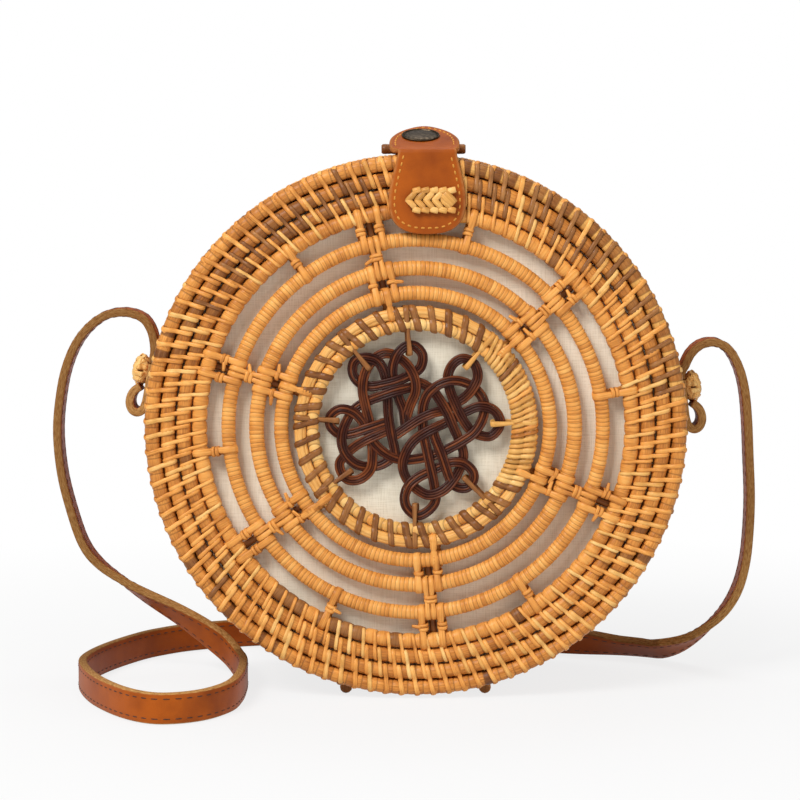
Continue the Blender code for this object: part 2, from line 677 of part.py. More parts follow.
RISE = math.radians(FLAP_RISE_DEGREES)
FLAP_ALONG = Vector((0, math.cos(RISE), math.sin(RISE)))
FLAP_UP = Vector((0, -math.sin(RISE), math.cos(RISE)))
BAR_Y = -(HALF_DEPTH - CLASP_BAR_SETBACK)
BAR_Z = RIM_TOP + FIT_GAP + CLASP_BAR_DIAMETER / 2
BAR_COVER = CLASP_BAR_DIAMETER / 2 + FIT_GAP + BACK_TAB_THICKNESS / 2
FOLD_Y = -(HALF_DEPTH + FIT_GAP + TAB_THICKNESS / 2)


def fold_point():
    """The flap's fold, set so that the closed flap lies the snap's height above the back tab."""
    crest = Vector((0, BAR_Y, BAR_Z)) + FLAP_UP * BAR_COVER
    lift = BACK_TAB_THICKNESS / 2 + SNAP_SPACE + FLAP_THICKNESS / 2
    z = crest.z + (lift + math.sin(RISE) * (FOLD_Y - crest.y)) / math.cos(RISE)
    return Vector((0, FOLD_Y, z))


def closure():
    fold = fold_point()
    start = fold.z - FLAP_THICKNESS / 2 - FIT_GAP
    tab = [(FOLD_Y, start - share * TAB_DROP) for share, _ in TAB_SHARES]
    widths = [share * TAB_HALF_WIDTH for _, share in TAB_SHARES]
    bent_strip("closure_tab_front", tab, widths, TAB_THICKNESS, TAB_SIDE, "leather")

    path = [fold + FLAP_ALONG * (share * FLAP_LENGTH) for share, _ in FLAP_SHARES]
    sections = []
    for (share, wide), centre in zip(FLAP_SHARES, path):
        thin = 0.55 if share < 0 else 1.0
        side = Vector((wide * FLAP_HALF_WIDTH, 0, 0))
        sections.append((centre + Vector((FLAP_SIDE, 0, 0)), side, FLAP_UP * (thin * FLAP_THICKNESS / 2)))
    flap = ribbon("closure_flap", sections, "leather")

    snap = fold + FLAP_ALONG * ((-HALF_DEPTH + SNAP_SETBACK - FOLD_Y) / math.cos(RISE)) + Vector((SNAP_SIDE, 0, 0))
    place = Matrix.Translation(snap) @ Matrix.Rotation(RISE, 4, "X")
    rivet = RIVET_DIAMETER / 2
    hole = rod(
        "rivet_hole",
        snap - FLAP_UP * (FLAP_THICKNESS / 2 + CUT_OVERRUN / 2),
        snap + FLAP_UP * (FLAP_THICKNESS / 2 + CUT_OVERRUN / 2),
        rivet + FIT_GAP,
        10,
    )
    boolean(flap, hole)
    snap_pieces(place)
    back_tab(snap)
    braid(start)
    ends = [(CLASP_BAR_SIDE + side * CLASP_BAR_LENGTH / 2, BAR_Y, BAR_Z) for side in (-1, 1)]
    rod("clasp_bar", *ends, CLASP_BAR_DIAMETER / 2, 10, "rattan_dark")


def snap_pieces(place):
    """Cap with its rivet, socket and stud, as heights from the flap's middle."""
    top = FLAP_THICKNESS / 2 + FIT_GAP
    rivet = RIVET_DIAMETER / 2
    cap = CAP_DIAMETER / 2
    profile = [
        (0, top + CAP_HEIGHT),
        (cap * 0.45, top + CAP_HEIGHT * 0.93),
        (cap * 0.8, top + CAP_HEIGHT * 0.66),
        (cap, top + CAP_HEIGHT * 0.2),
        (cap, top),
        (rivet, top),
        (rivet, -FLAP_THICKNESS / 2),
        (0, -FLAP_THICKNESS / 2),
    ]
    lathe("snap_cap", profile, "bronze", 16, place)
    under = -FLAP_THICKNESS / 2 - FIT_GAP
    outer, bore = SOCKET_DIAMETER / 2, SOCKET_BORE / 2
    profile = [
        (0, under),
        (outer, under),
        (outer, under - SOCKET_HEIGHT),
        (bore, under - SOCKET_HEIGHT),
        (bore, under - SOCKET_ROOF),
        (0, under - SOCKET_ROOF),
    ]
    lathe("snap_socket", profile, "bronze", 14, place)
    tab_face = -FLAP_THICKNESS / 2 - SNAP_SPACE
    head = under - SOCKET_ROOF - FIT_GAP
    flange, neck = tab_face + STUD_FLANGE_HEIGHT, STUD_NECK_DIAMETER / 2
    bulge = (head + flange) / 2
    profile = [
        (0, head),
        (neck, head),
        (STUD_HEAD_DIAMETER / 2, bulge),
        (neck, flange),
        (STUD_FLANGE_DIAMETER / 2, flange),
        (STUD_FLANGE_DIAMETER / 2, tab_face - BACK_TAB_THICKNESS),
        (0, tab_face - BACK_TAB_THICKNESS),
    ]
    lathe("snap_stud", profile, "bronze", 12, place)


def back_tab(snap):
    """From the back face over the rim and the clasp bar, down towards the front."""
    half = BACK_TAB_THICKNESS / 2
    behind = HALF_DEPTH + FIT_GAP + half
    over = RIM_TOP + FIT_GAP + half
    bar = Vector((0, BAR_Y, BAR_Z))
    crest = bar + FLAP_UP * BAR_COVER
    low = RIM_TOP + FIT_GAP + half / math.cos(RISE) + half * math.sin(RISE)
    run_down = (crest.z - low) / math.sin(RISE)
    path = [(behind, RIM_TOP - BACK_TAB_DROP), (behind, RIM_TOP - COIL_RADIUS)]
    path += [(behind - COIL_RADIUS * 0.4, over - COIL_RADIUS * 0.3), (behind - COIL_RADIUS, over)]
    path += [(COIL_RADIUS, over), (BAR_Y + 1.2 * CLASP_BAR_DIAMETER, bar.z + 0.72 * BAR_COVER)]
    path += [(BAR_Y + 0.3 * BAR_COVER, bar.z + 0.96 * BAR_COVER), (crest.y, crest.z)]
    widths = [0.8, 0.93, 0.95, 0.97, 1.0, 1.0, 1.0, 1.0]
    for share, wide in BACK_END_SHARES:
        point = crest - FLAP_ALONG * (share * run_down)
        path.append((point.y, point.z))
        widths.append(wide)
    widths = [share * BACK_TAB_HALF_WIDTH for share in widths]
    tab = bent_strip("closure_tab_back", path, widths, BACK_TAB_THICKNESS, FLAP_SIDE, "leather")
    top = snap - FLAP_UP * (FLAP_THICKNESS / 2 + SNAP_SPACE - CUT_OVERRUN / 2)
    bottom = top - FLAP_UP * (BACK_TAB_THICKNESS + CUT_OVERRUN)
    boolean(tab, rod("stud_hole", top, bottom, STUD_FLANGE_DIAMETER / 2 + FIT_GAP, 12))


def braid(tab_top):
    """A flat straw plait with pointed ends, laid on the front tab."""
    length, half = BRAID_LENGTH / 2, BRAID_WIDTH / 2
    outline = [(-length, -half), (length - half, -half), (length, 0.0), (length - half, half), (-length, half), (-length + half, 0.0)]
    y = FOLD_Y - TAB_THICKNESS / 2 - FIT_GAP - BRAID_THICKNESS / 2
    centre = Vector((TAB_SIDE + BRAID_SIDE, y, tab_top - BRAID_DROP))
    frame = (centre, Vector((1, 0, 0)), Vector((0, 0, 1)), Vector((0, 1, 0)))
    prism("closure_braid", outline, frame, BRAID_THICKNESS, "rattan_straw")


WALL_CORNER = BAG_RADIUS / math.cos(HALF_STEP)
STRAP_SEAT = WALL_CORNER + FIT_GAP + STRAP_THICKNESS / 2
STRAP_Y = STRAP_WIDTH / 2


def knob_axes(side):
    """Outwards from the wall, and up along it, at a strap knob."""
    out, clockwise = clock_axes(KNOB_CLOCK_LEFT if side < 0 else KNOB_CLOCK_RIGHT)
    return out, clockwise if side < 0 else -clockwise


def knobs(shell):
    """Ball knobs on stems through the doubled strap ends into the back shell."""
    for side, word in ((-1, "left"), (1, "right")):
        out, up = knob_axes(side)
        foot = Vector((0, STRAP_Y, CENTRE_Z))
        across = out.cross(up)
        place = Matrix.Translation(foot) @ Matrix((up, across, out)).transposed().to_4x4()
        if place.determinant() < 0:
            place = Matrix.Translation(foot) @ Matrix((up, -across, out)).transposed().to_4x4()
        near = STRAP_SEAT + STRAP_THICKNESS / 2 + FIT_GAP
        ball, stem = KNOB_DIAMETER / 2, STEM_DIAMETER / 2
        profile = [
            (0, near + KNOB_DEPTH),
            (ball * 0.62, near + KNOB_DEPTH * 0.9),
            (ball, near + KNOB_DEPTH * 0.5),
            (ball * 0.62, near),
            (stem, near),
            (stem, WALL_INSIDE + FIT_GAP),
            (0, WALL_INSIDE + FIT_GAP),
        ]
        lathe(f"strap_knob_{word}", profile, "rattan_straw", 12, place)
        hole = rod(
            f"stem_hole_{word}",
            foot + out * (WALL_INSIDE - CUT_OVERRUN),
            foot + out * near,
            stem + FIT_GAP,
            8,
        )
        boolean(shell, hole)
        boolean(end_loop(word, foot, out, up), hole)


def end_loop(word, foot, out, up):
    """The strap's doubled end: down behind the ball, round, and up to the ball again."""
    turn_at = -(END_LOOP_DROP - STRAP_THICKNESS / 2 - END_LOOP_BEND)
    bend_at = STRAP_SEAT + END_LOOP_BEND
    path = [(STRAP_SEAT, END_LOOP_RISE), (STRAP_SEAT, turn_at)]
    for degrees in (30, 60, 90, 120, 150, 180):
        turn = math.radians(degrees)
        path.append((bend_at - END_LOOP_BEND * math.cos(turn), turn_at - END_LOOP_BEND * math.sin(turn)))
    path.append((STRAP_SEAT + 2 * END_LOOP_BEND, -(KNOB_DIAMETER / 2 + 2 * FIT_GAP)))
    sections = []
    for i, (s, t) in enumerate(path):
        before, after = path[max(i - 1, 0)], path[min(i + 1, len(path) - 1)]
        run = Vector((after[0] - before[0], after[1] - before[1])).normalized()
        thick = (out * -run.y + up * run.x) * (STRAP_THICKNESS / 2)
        sections.append((foot + out * s + up * t, Vector((0, STRAP_WIDTH / 2, 0)), thick))
    return ribbon(f"strap_end_loop_{word}", sections, "leather")


# Route of the strap's raw edge in millimetres of the real bag: x, y, z, and 0 facing the front to 1 facing up
STRAP_EDGE = (
    (-100.0, 0, 127.5, 0), (-101.0, 0, 133.7, 0), (-104.0, 0, 138.7, 0), (-108.6, 0, 140.8, 0),
    (-113.2, 0, 141.2, 0), (-118.6, 0, 140.1, 0), (-124.0, 0, 136.6, 0), (-129.1, 0, 130.8, 0),
    (-133.0, 0, 123.0, 0), (-135.8, 0, 112.7, 0), (-137.6, 0, 97.0, 0), (-136.6, 0, 81.5, 0),
    (-133.7, 0, 67.8, 0), (-128.6, 0, 52.2, 0), (-122.5, 2, 43.7, 0.05), (-113.5, 4, 37.3, 0.15),
    (-105.0, 6, 32.6, 0.3), (-92.3, 8, 26.4, 0.5), (-81.4, 8, 20.5, 0.72), (-73.0, 5, 15.0, 0.88),
    (-67.6, -5, 11.4, 1), (-65.2, -18, 11.2, 1), (-64.7, -31, 11.2, 1), (-65.0, -46, 11.2, 1),
    (-67.3, -62, 11.2, 1), (-74.2, -75.4, 11.2, 1), (-83.6, -82.3, 11.2, 1), (-93.5, -82.6, 11.2, 1),
    (-104.7, -72.5, 11.2, 1), (-116.3, -52.7, 11.2, 1), (-123.8, -31.3, 11.2, 1), (-126.0, -14.6, 11.2, 1),
    (-122.2, 5.5, 11.2, 1), (-113.7, 26.6, 11.2, 1), (-104.1, 42.2, 11.2, 1), (-88.0, 56.0, 11.2, 1),
    (-60.0, 66.0, 11.2, 1), (-20.0, 71.0, 11.2, 1), (20.0, 66.0, 11.2, 1), (50.0, 52.0, 11.2, 1),
    (66.0, 42.0, 10.2, 0.72), (80.8, 36.0, 8.0, 0.47), (89.5, 32.5, 7.6, 0.42), (98.0, 27.0, 8.8, 0.4),
    (106.0, 19.0, 12.4, 0.3), (113.0, 12.0, 17.7, 0.2), (120.0, 5.0, 25.4, 0.08), (124.6, 1, 34.0, 0),
    (127.2, 0, 44.3, 0), (128.4, 0, 55.8, 0), (128.8, 0, 70.0, 0), (128.1, 0, 86.0, 0),
    (127.3, 0, 101.0, 0), (126.0, 0, 112.3, 0), (123.6, 0, 120.7, 0), (119.8, 0, 127.1, 0),
    (114.6, 0, 129.8, 0), (109.0, 0, 128.8, 0), (105.2, 0, 125.2, 0), (103.2, 0, 121.0, 0),
)
REAL_MILLIMETRE = 0.001


def strap():
    """The free strap as one band. It starts and ends behind the balls, just above the doubled ends."""
    edges = [Vector(point[:3]) * REAL_MILLIMETRE for point in STRAP_EDGE]
    leans = [point[3] for point in STRAP_EDGE]
    starts = []
    for side in (-1, 1):
        out, up = knob_axes(side)
        foot = Vector((0, STRAP_Y, CENTRE_Z)) + out * STRAP_SEAT
        starts.append([foot + up * (END_LOOP_RISE + FIT_GAP), foot + up * (END_LOOP_RISE + KNOB_DIAMETER / 4)])
    towards = [Vector((0, math.cos(lean * math.pi / 2), -math.sin(lean * math.pi / 2))) for lean in leans]
    centres = [edge + way * (STRAP_WIDTH / 2) for edge, way in zip(edges, towards)]
    centres = starts[0] + centres + starts[1][::-1]
    front = Vector((0, 1, 0))
    towards = [front, front] + towards + [front, front]
    sections = []
    for i, centre in enumerate(centres):
        run = (centres[min(i + 1, len(centres) - 1)] - centres[max(i - 1, 0)]).normalized()
        wide = (towards[i] - run * towards[i].dot(run)).normalized()
        thick = run.cross(wide)
        reach = (abs(wide.z) * STRAP_WIDTH + abs(thick.z) * STRAP_THICKNESS) / 2
        centre.z = max(centre.z, reach)
        sections.append((centre, wide * (STRAP_WIDTH / 2), thick * (STRAP_THICKNESS / 2)))
    ribbon("strap", sections, "leather")
    length = sum((b - a).length for a, b in zip(centres, centres[1:]))
    print(f"strap centre line {length * 1000:.1f} mm")


def build():
    front, back = front_shell(), back_shell()
    boolean(front, lashing_slots())
    ring("ring_outer", RING_OUTER, RING_OUTER_DIAMETER)
    ring("ring_middle", RING_MIDDLE, RING_MIDDLE_DIAMETER)
    ring("ring_inner", RING_INNER, RING_INNER_DIAMETER)
    centre_hoop()
    for number, clock in enumerate(SPOKE_CLOCKS, 1):
        spoke_lashing(number, clock)
    for number, clock in enumerate(RIM_TIE_CLOCKS, 1):
        rim_tie(number, clock)
    knot_ornament()
    for number, (clock, reach_pixels) in enumerate(KNOT_TIES, 1):
        knot_tie(number, clock, reach_pixels)
    lining("front_lining", -1)
    lining("back_lining", 1)
    hinge(front, back)
    feet()
    closure()
    knobs(back)
    strap()


clear_scene()
PARTS = new_collection("parts")
CUTTERS = new_collection("cutters")
build()
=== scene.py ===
"""Rattan shoulder bag: coiled shells, an openwork face, canvas linings, a leather closure and a strap."""

import math

import bpy
import numpy as np
from mathutils import Matrix, Vector


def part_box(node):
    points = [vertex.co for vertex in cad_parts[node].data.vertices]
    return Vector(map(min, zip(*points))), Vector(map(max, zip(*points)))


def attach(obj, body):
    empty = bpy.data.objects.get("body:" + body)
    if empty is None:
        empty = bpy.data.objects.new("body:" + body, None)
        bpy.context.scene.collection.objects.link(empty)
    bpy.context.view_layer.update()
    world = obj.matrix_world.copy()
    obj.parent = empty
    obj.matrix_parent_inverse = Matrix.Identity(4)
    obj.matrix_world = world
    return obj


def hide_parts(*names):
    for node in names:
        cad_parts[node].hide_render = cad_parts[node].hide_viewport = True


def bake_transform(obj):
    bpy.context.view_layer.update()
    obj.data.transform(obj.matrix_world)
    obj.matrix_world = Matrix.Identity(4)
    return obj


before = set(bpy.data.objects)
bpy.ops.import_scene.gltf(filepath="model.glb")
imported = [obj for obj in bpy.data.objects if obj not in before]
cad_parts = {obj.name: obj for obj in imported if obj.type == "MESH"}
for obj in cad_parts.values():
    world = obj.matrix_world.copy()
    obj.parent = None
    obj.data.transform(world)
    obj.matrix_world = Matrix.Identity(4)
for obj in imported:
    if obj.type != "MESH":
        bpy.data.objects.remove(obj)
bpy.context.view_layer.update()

RANDOM = np.random.default_rng(7)

# Sizes in metres that the frame gives
SHELL_LOW, SHELL_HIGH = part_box("back_shell")
BAG_RADIUS = (SHELL_HIGH.x - SHELL_LOW.x) / 2
CENTRE_Z = (SHELL_LOW.z + SHELL_HIGH.z) / 2
HALF_DEPTH = SHELL_HIGH.y

# Coiled shells
COIL_DIAMETER = 0.0058
COIL_PITCH = 0.005829
COIL_INSET = 0.00022
BAND_COILS = 4
SIDE_COILS = 6
DISC_COILS = 16
EDGE_GAP = 0.0003
COIL_RADIUS = COIL_DIAMETER / 2
CORE_SIZE = COIL_RADIUS - COIL_INSET
CORNER_RADIUS = BAG_RADIUS - COIL_RADIUS
FACE_COIL_Y = HALF_DEPTH - COIL_RADIUS
SIDE_PITCH = (FACE_COIL_Y - COIL_RADIUS - EDGE_GAP / 2) / SIDE_COILS
LIP_COIL_RADIUS = CORNER_RADIUS - (BAND_COILS - 1) * COIL_PITCH
SEAM_ROPE = 0.0007
SEAM_ROPE_DEPTH = 0.0021
COIL_STEPS = 180
COIL_WOBBLE = 0.00008

# Cane that sews and wraps the coils
STITCHES = 106
WRAP_BULGE = 0.00010
LIP_BULGE = 0.00024
STITCH_WIDTH = 0.0019
STITCH_THICKNESS = 0.00044
STITCH_SLANT = 0.0030
STITCH_NARROWING = 0.12
STITCH_LIFT = 0.0001
STITCH_SCATTER = 0.035
RING_WRAP_PITCH = 0.00158
RING_BULGE = 0.00009
RING_LEAN = 4 * RING_BULGE

# Lashings
LASH_THICKNESS = 0.00042
LASH_GAP = 0.00012
LASH_PITCH = 0.0016
LASH_SKEW = 0.0004
LASH_FILL = 0.93
PAIR_TIE_WIDTH = 0.0031
SINGLE_TIE_WIDTH = 0.0023
PAIR_ASIDE = 0.0035
HOOP_TIE_SKEW = 0.0008
KNOT_TIE_SKEW = 0.0003
COLLAR_WIDTH = 0.0015
COLLAR_SQUARENESS = 0.7
COLLAR_TILT = 0.22
OFFCUT_SHARE = 0.5
STAKE_SIZE = 0.0026
STAKE_DEPTH = 0.0021
STAKE_THICKNESS = 0.0006
RINGS = ("ring_outer", "ring_middle", "ring_inner")
RIM_TIE_CLOCKS = (15.0, 80.0, 146.0, 205.0, 263.0, 324.0)
SPOKE_CLOCKS = (48.0, 112.0, 175.0, 235.0, 287.0, 347.0)
HOOP_TIE_SIDES = (0, 0, -1, -1, 0, 0)

# Bound hoop: two canes side by side, and its dense pale wraps between two clock angles
HOOP_LOW, HOOP_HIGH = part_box("centre_hoop")
HOOP_SIZE = (HOOP_HIGH.y - HOOP_LOW.y) / 2
HOOP_OUTER = (HOOP_HIGH.x - HOOP_LOW.x) / 2 - HOOP_SIZE * math.cos(math.radians(35))
HOOP_INNER = HOOP_OUTER - 2 * HOOP_SIZE
HOOP_STITCHES = 41
HOOP_STITCH_WIDTH = 0.0031
HOOP_SLANT = 0.0032
HOOP_LEAN = 0.0012
HOOP_TURNS = (-85, -60, -30, 0, 28, 48)
PALE_HOOP = (36, 118)

# Strap
STRAP_WIDTH = 0.0110
STRAP_THICKNESS = 0.0032
STRAP_STEP = 0.0022
STRAP_STITCH_INSET = 0.0019
FIT_GAP = 0.0003
REAL_MILLIMETRE = 0.001
STRAP_SEAT = BAG_RADIUS / math.cos(math.pi / 24) + FIT_GAP + STRAP_THICKNESS / 2
END_LOOP_RISE = 0.0030
END_LOOP_STEP = 0.0006

# Woven knobs at the strap's ends
KNOB_CLOCKS = {"left": 279.7, "right": 83.7}
KNOB_DIAMETER = 0.0110
KNOB_RADIUS = 0.0053
KNOB_DEPTH = 0.0026
KNOB_STRIP_WIDTH = 0.0023
KNOB_STRIP_THICKNESS = 0.0007
KNOB_STEM = 0.0010

# Canvas
CANVAS_THICKNESS = 0.0008
CANVAS_CORNER = 3 * CANVAS_THICKNESS
CANVAS_START = 0.0005
CANVAS_RINGS = 44
WALL_RINGS = 9
CANVAS_STEPS = 160
CANVAS_SAG = 0.00022

# Leather closure, from the frame's boxes and the record's flap joint
TAB_THICKNESS = 0.0020
TAB_SIDE = 0.0042
TAB_HALF_WIDTH = 0.0141
TAB_DROP = 0.0303
FLAP_RISE = math.radians(18.2)
FLAP_LENGTH = 0.0277
FLAP_SIDE = 0.0032
FLAP_HALF_WIDTH = 0.01285
FOLD_Y = -0.0413
FOLD_Z = 0.20207
FOLD_SHIFT = (0, 0.00012, 0.0003)
FOLD_WIDTH = 0.755 * TAB_HALF_WIDTH
CLOSURE_STEP = 0.0007
SEAM_INSET = 0.0022
SEAM_STEP = 0.0008
# Length, pitch and radius of the stitches of each seam
STRAP_STITCH = (0.0031, 0.0039, 0.00023)
EDGE_STITCH = (0.0019, 0.0025, 0.00037)
BACK_TAB_STITCH = (0.0016, 0.0023, 0.00045)

# Straw braid on the tab
BRAID_CHEVRONS = 5
BRAID_BULGE = 0.0006
BRAID_GROWTH = 1.12
BRAID_DEPTH = 0.0012

# Snap
SNAP_SETBACK = 0.0130
CAP_SEAT = 0.00005
CAP_DOME = 0.0012
CAP_DOME_SHARE = 0.92
RIVET_RADIUS = 0.0013
POLE_RADIUS = 0.00001
STUD_SEAT = -0.0029

# Back tab and clasp bar
BACK_TAB_THICKNESS = 0.0012
BACK_TAB_HALF_WIDTH = 0.0110
BACK_TAB_STEP = 0.0009
BACK_TAB_SEAM = 0.0020
BAR_POINTS = 61

GRAIN_UNIT = 1000.0
GRAIN_SPREAD = 90
# Painted shade: how much darker each strip's sides are than its top
PAINTED_SIDE_SHADE = 0.3
AXIS = np.array((0.0, 0.0, CENTRE_Z))
FRONT = np.array((0.0, -1.0, 0.0))
ACROSS = np.array((1.0, 0.0, 0.0))
UP = np.array((0.0, 0.0, 1.0))
FACE_AXIS = AXIS + FRONT * FACE_COIL_Y


def radial(theta):
    """Unit vectors outwards from the bag's axis at clock angles in radians."""
    theta = np.asarray(theta, float)
    return np.stack([np.sin(theta), np.zeros_like(theta), np.cos(theta)], -1)


def clockwise(theta):
    theta = np.asarray(theta, float)
    return np.stack([np.cos(theta), np.zeros_like(theta), -np.sin(theta)], -1)


def circle_angles(count):
    return 2 * np.pi * np.arange(count) / count


def lies_between(theta, start, end):
    """Whether angles in radians lie between two clock angles in degrees."""
    clock = np.degrees(theta) % 360
    return (clock > start) & (clock < end)


def unit(vectors):
    return vectors / np.maximum(np.linalg.norm(vectors, axis=-1, keepdims=True), 1e-12)


def run_of(lines, closed=False):
    """Unit directions along lines of points, of shape (..., n, 3)."""
    if closed:
        return unit(np.roll(lines, -1, -2) - np.roll(lines, 1, -2))
    return unit(np.gradient(lines, axis=-2))


def lengths_along(lines):
    """Distances of points from the start of their line."""
    steps = np.linalg.norm(np.diff(lines, axis=-2), axis=-1)
    return np.concatenate([np.zeros(steps.shape[:-1] + (1,)), np.cumsum(steps, -1)], -1)


def outward(lines, vectors):
    """Vectors at closed lines, turned round if they point at the middle."""
    away = lines - lines.mean(-2, keepdims=True)
    return -vectors if (away * vectors).sum() < 0 else vectors


def smooth_line(points, step):
    """A Catmull-Rom line through points, with points about a step apart."""
    points = np.asarray(points, float)
    padded = np.vstack([2 * points[0] - points[1], points, 2 * points[-1] - points[-2]])
    found = []
    for a, b, c, d in zip(padded, padded[1:], padded[2:], padded[3:]):
        count = max(2, round(np.linalg.norm(c[:3] - b[:3]) / step))
        t = (np.arange(count) / count)[:, None]
        bend = (2 * a - 5 * b + 4 * c - d) * t**2 + (3 * b - a - 3 * c + d) * t**3
        found.append(0.5 * (2 * b + (c - a) * t + bend))
    return np.vstack(found + [points[-1:]])


def quads(points, closed):
    """Faces over a grid of points, each of whose last two axes may close on itself."""
    index = np.arange(points.size // 3).reshape(points.shape[:-1])
    index = np.pad(index, [(0, 0)] * (index.ndim - 2) + [(0, int(way)) for way in closed], "wrap")
    corners = index[..., :-1, :-1], index[..., :-1, 1:], index[..., 1:, 1:], index[..., 1:, :-1]
    return np.stack(corners, -1).reshape(-1, 4)


def arc_section(sides):
    turn = circle_angles(sides)
    return np.stack([np.cos(turn), np.sin(turn)], -1)


# A strip of split cane in section, as shares of its width and of its thickness
SPLIT_CANE = np.array((
    (0.5, 0.0), (0.4, 0.66), (0.15, 1.0), (-0.15, 1.0),
    (-0.4, 0.66), (-0.5, 0.0), (-0.2, -0.35), (0.2, -0.35),
))


def new_object(name, data):
    obj = bpy.data.objects.new(name, data)
    bpy.context.scene.collection.objects.link(obj)
    return obj


class Batch:
    """Strips and coils gathered into one mesh.

    Each point has a tint (tone, brown, pale, lit share) and a place in the grain. The tone carries painted
    shade on the sides of strips, and a lit share below one paints shade into the colour.
    """

    def __init__(self):
        self.points, self.faces, self.tints, self.grain = [], [], [], []
        self.count = 0

    def add(self, points, faces, tints, grain):
        self.faces.append(np.asarray(faces) + self.count)
        self.points.append(points.reshape(-1, 3))
        self.tints.append(np.broadcast_to(tints, points.shape[:-1] + (4,)).reshape(-1, 4))
        self.grain.append(grain.reshape(-1, 3))
        self.count += points.size // 3

    def sweep(self, lines, wides, thicks, section, tints, closed=False, caps=False):
        """Sweeps a section along lines of points, with wide and thick vectors for each point or for all."""
        arrays = np.broadcast_arrays(lines, wides, thicks)
        lines, wides, thicks = (array.reshape(-1, *array.shape[-2:]) for array in arrays)
        k, n = lines.shape[:2]
        m = len(section)
        points = lines[:, :, None] + wides[:, :, None] * section[:, :1] + thicks[:, :, None] * section[:, 1:]
        faces = [quads(points, (closed, True))]
        if caps:
            index = np.arange(k * n * m).reshape(k, n, m)
            for ring, way in ((index[:, 0], -1), (index[:, -1], 1)):
                for i in range(0, m - 2, 2):
                    faces.append(ring[:, (0, i + 1, i + 2, (i + 3) % m)][:, ::way])
        faces = np.vstack(faces)
        if (np.cross(wides, thicks) * run_of(lines, closed)).sum() < 0:
            faces = faces[:, ::-1]
        grain = np.zeros(points.shape)
        grain[..., 0] = lengths_along(lines)[:, :, None] * GRAIN_UNIT
        grain[..., 1] = section[:, 0] * np.linalg.norm(wides, axis=-1)[:, :, None] * GRAIN_UNIT
        grain[..., 2] = RANDOM.random(k)[:, None, None] * GRAIN_SPREAD
        tints = np.asarray(tints, float)
        tints = tints.reshape((-1, n, 1, 4) if tints.ndim == 3 else (-1, 1, 1, 4))
        tints = np.broadcast_to(tints, (k, n, m, 4)).copy()
        # Painted shade: the sides of each strip darker than its top, whatever the light
        tints[..., 0] -= PAINTED_SIDE_SHADE * (1 - np.clip(section[:, 1], 0, 1))
        self.add(points, faces, tints, grain)

    def piece(self, name, material, slot, body, *nodes):
        points, faces = np.vstack(self.points), np.vstack(self.faces)
        mesh = bpy.data.meshes.new(name)
        mesh.vertices.add(len(points))
        mesh.vertices.foreach_set("co", points.ravel())
        mesh.loops.add(faces.size)
        mesh.loops.foreach_set("vertex_index", faces.astype(np.int32).ravel())
        mesh.polygons.add(len(faces))
        mesh.polygons.foreach_set("loop_start", np.arange(0, faces.size, 4, dtype=np.int32))
        mesh.polygons.foreach_set("use_smooth", np.ones(len(faces), bool))
        mesh.update(calc_edges=True)
        for key, kind, field, values in (
            ("tint", "FLOAT_COLOR", "color", self.tints), ("grain", "FLOAT_VECTOR", "vector", self.grain),
        ):
            data = mesh.attributes.new(key, kind, "POINT").data
            data.foreach_set(field, np.vstack(values).astype(np.float32).ravel())
        mesh.materials.append(material)
        obj = new_object(name, mesh)
        if body:
            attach(obj, body)
        if nodes:
            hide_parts(*nodes)
        return obj


class Shader:
    """Short calls for building a tree of nodes."""

    def __init__(self, tree, main):
        self.tree, self.main = tree, tree.nodes[main]

    def put(self, socket, value, node=None):
        target = (node or self.main).inputs[socket]
        if isinstance(value, bpy.types.NodeSocket):
            self.tree.links.new(value, target)
        elif isinstance(value, tuple) and len(value) == 3 and target.type == "RGBA":
            target.default_value = (*value, 1)
        else:
            target.default_value = value

    def node(self, kind, inputs=(), **settings):
        node = self.tree.nodes.new(kind)
        for key, value in settings.items():
            setattr(node, key, value)
        for socket, value in dict(inputs).items():
            self.put(socket, value, node)
        return node

    def attribute(self, name, output):
        return self.node("ShaderNodeAttribute", attribute_name=name).outputs[output]

    def parts(self, colour):
        return self.node("ShaderNodeSeparateColor", {"Color": colour}).outputs

    def scaled(self, vector, scale):
        return self.node("ShaderNodeVectorMath", {0: vector, 1: scale}, operation="MULTIPLY").outputs[0]

    def noise(self, vector, scale=1.0, detail=3.0):
        inputs = {"Vector": vector, "Scale": scale, "Detail": detail}
        return self.node("ShaderNodeTexNoise", inputs).outputs["Fac"]

    def maths(self, operation, a, b=0.0, clamp=False):
        return self.node("ShaderNodeMath", {0: a, 1: b}, operation=operation, use_clamp=clamp).outputs[0]

    def mix(self, share, a, b):
        return self.node("ShaderNodeMix", {0: share, 6: a, 7: b}, data_type="RGBA").outputs[2]

    def mix_shaders(self, share, a, b):
        return self.node("ShaderNodeMixShader", {0: share, 1: a, 2: b}).outputs[0]

    def between(self, value, low, high, to_low=0.0, to_high=1.0):
        inputs = {"Value": value, "From Min": low, "From Max": high, "To Min": to_low, "To Max": to_high}
        return self.node("ShaderNodeMapRange", inputs).outputs[0]

    def ramp(self, value, stops):
        node = self.node("ShaderNodeValToRGB", {"Fac": value})
        marks = node.color_ramp.elements
        while len(marks) < len(stops):
            marks.new(0.5)
        for mark, (place, colour) in zip(marks, stops):
            mark.position = place
            mark.color = (*colour, 1)
        return node.outputs["Color"]

    def grey(self, value, high):
        """The value as a grey from black to a high share of white."""
        return self.ramp(value, ((0.0, (0, 0, 0)), (1.0, (high, high, high))))

    def bump(self, height, depth, strength=1.0):
        inputs = {"Height": height, "Distance": depth, "Strength": strength}
        self.put("Normal", self.node("ShaderNodeBump", inputs).outputs[0])

    def place(self):
        return self.node("ShaderNodeTexCoord").outputs["Object"]


def surface(name, roughness, **sockets):
    """A new material's nodes, with its constant sockets set."""
    material = bpy.data.materials.new(name)
    material.use_nodes = True
    s = Shader(material.node_tree, "Principled BSDF")
    s.material = material
    s.put("Roughness", roughness)
    for socket, value in sockets.items():
        s.put(socket.replace("_", " "), value)
    return s


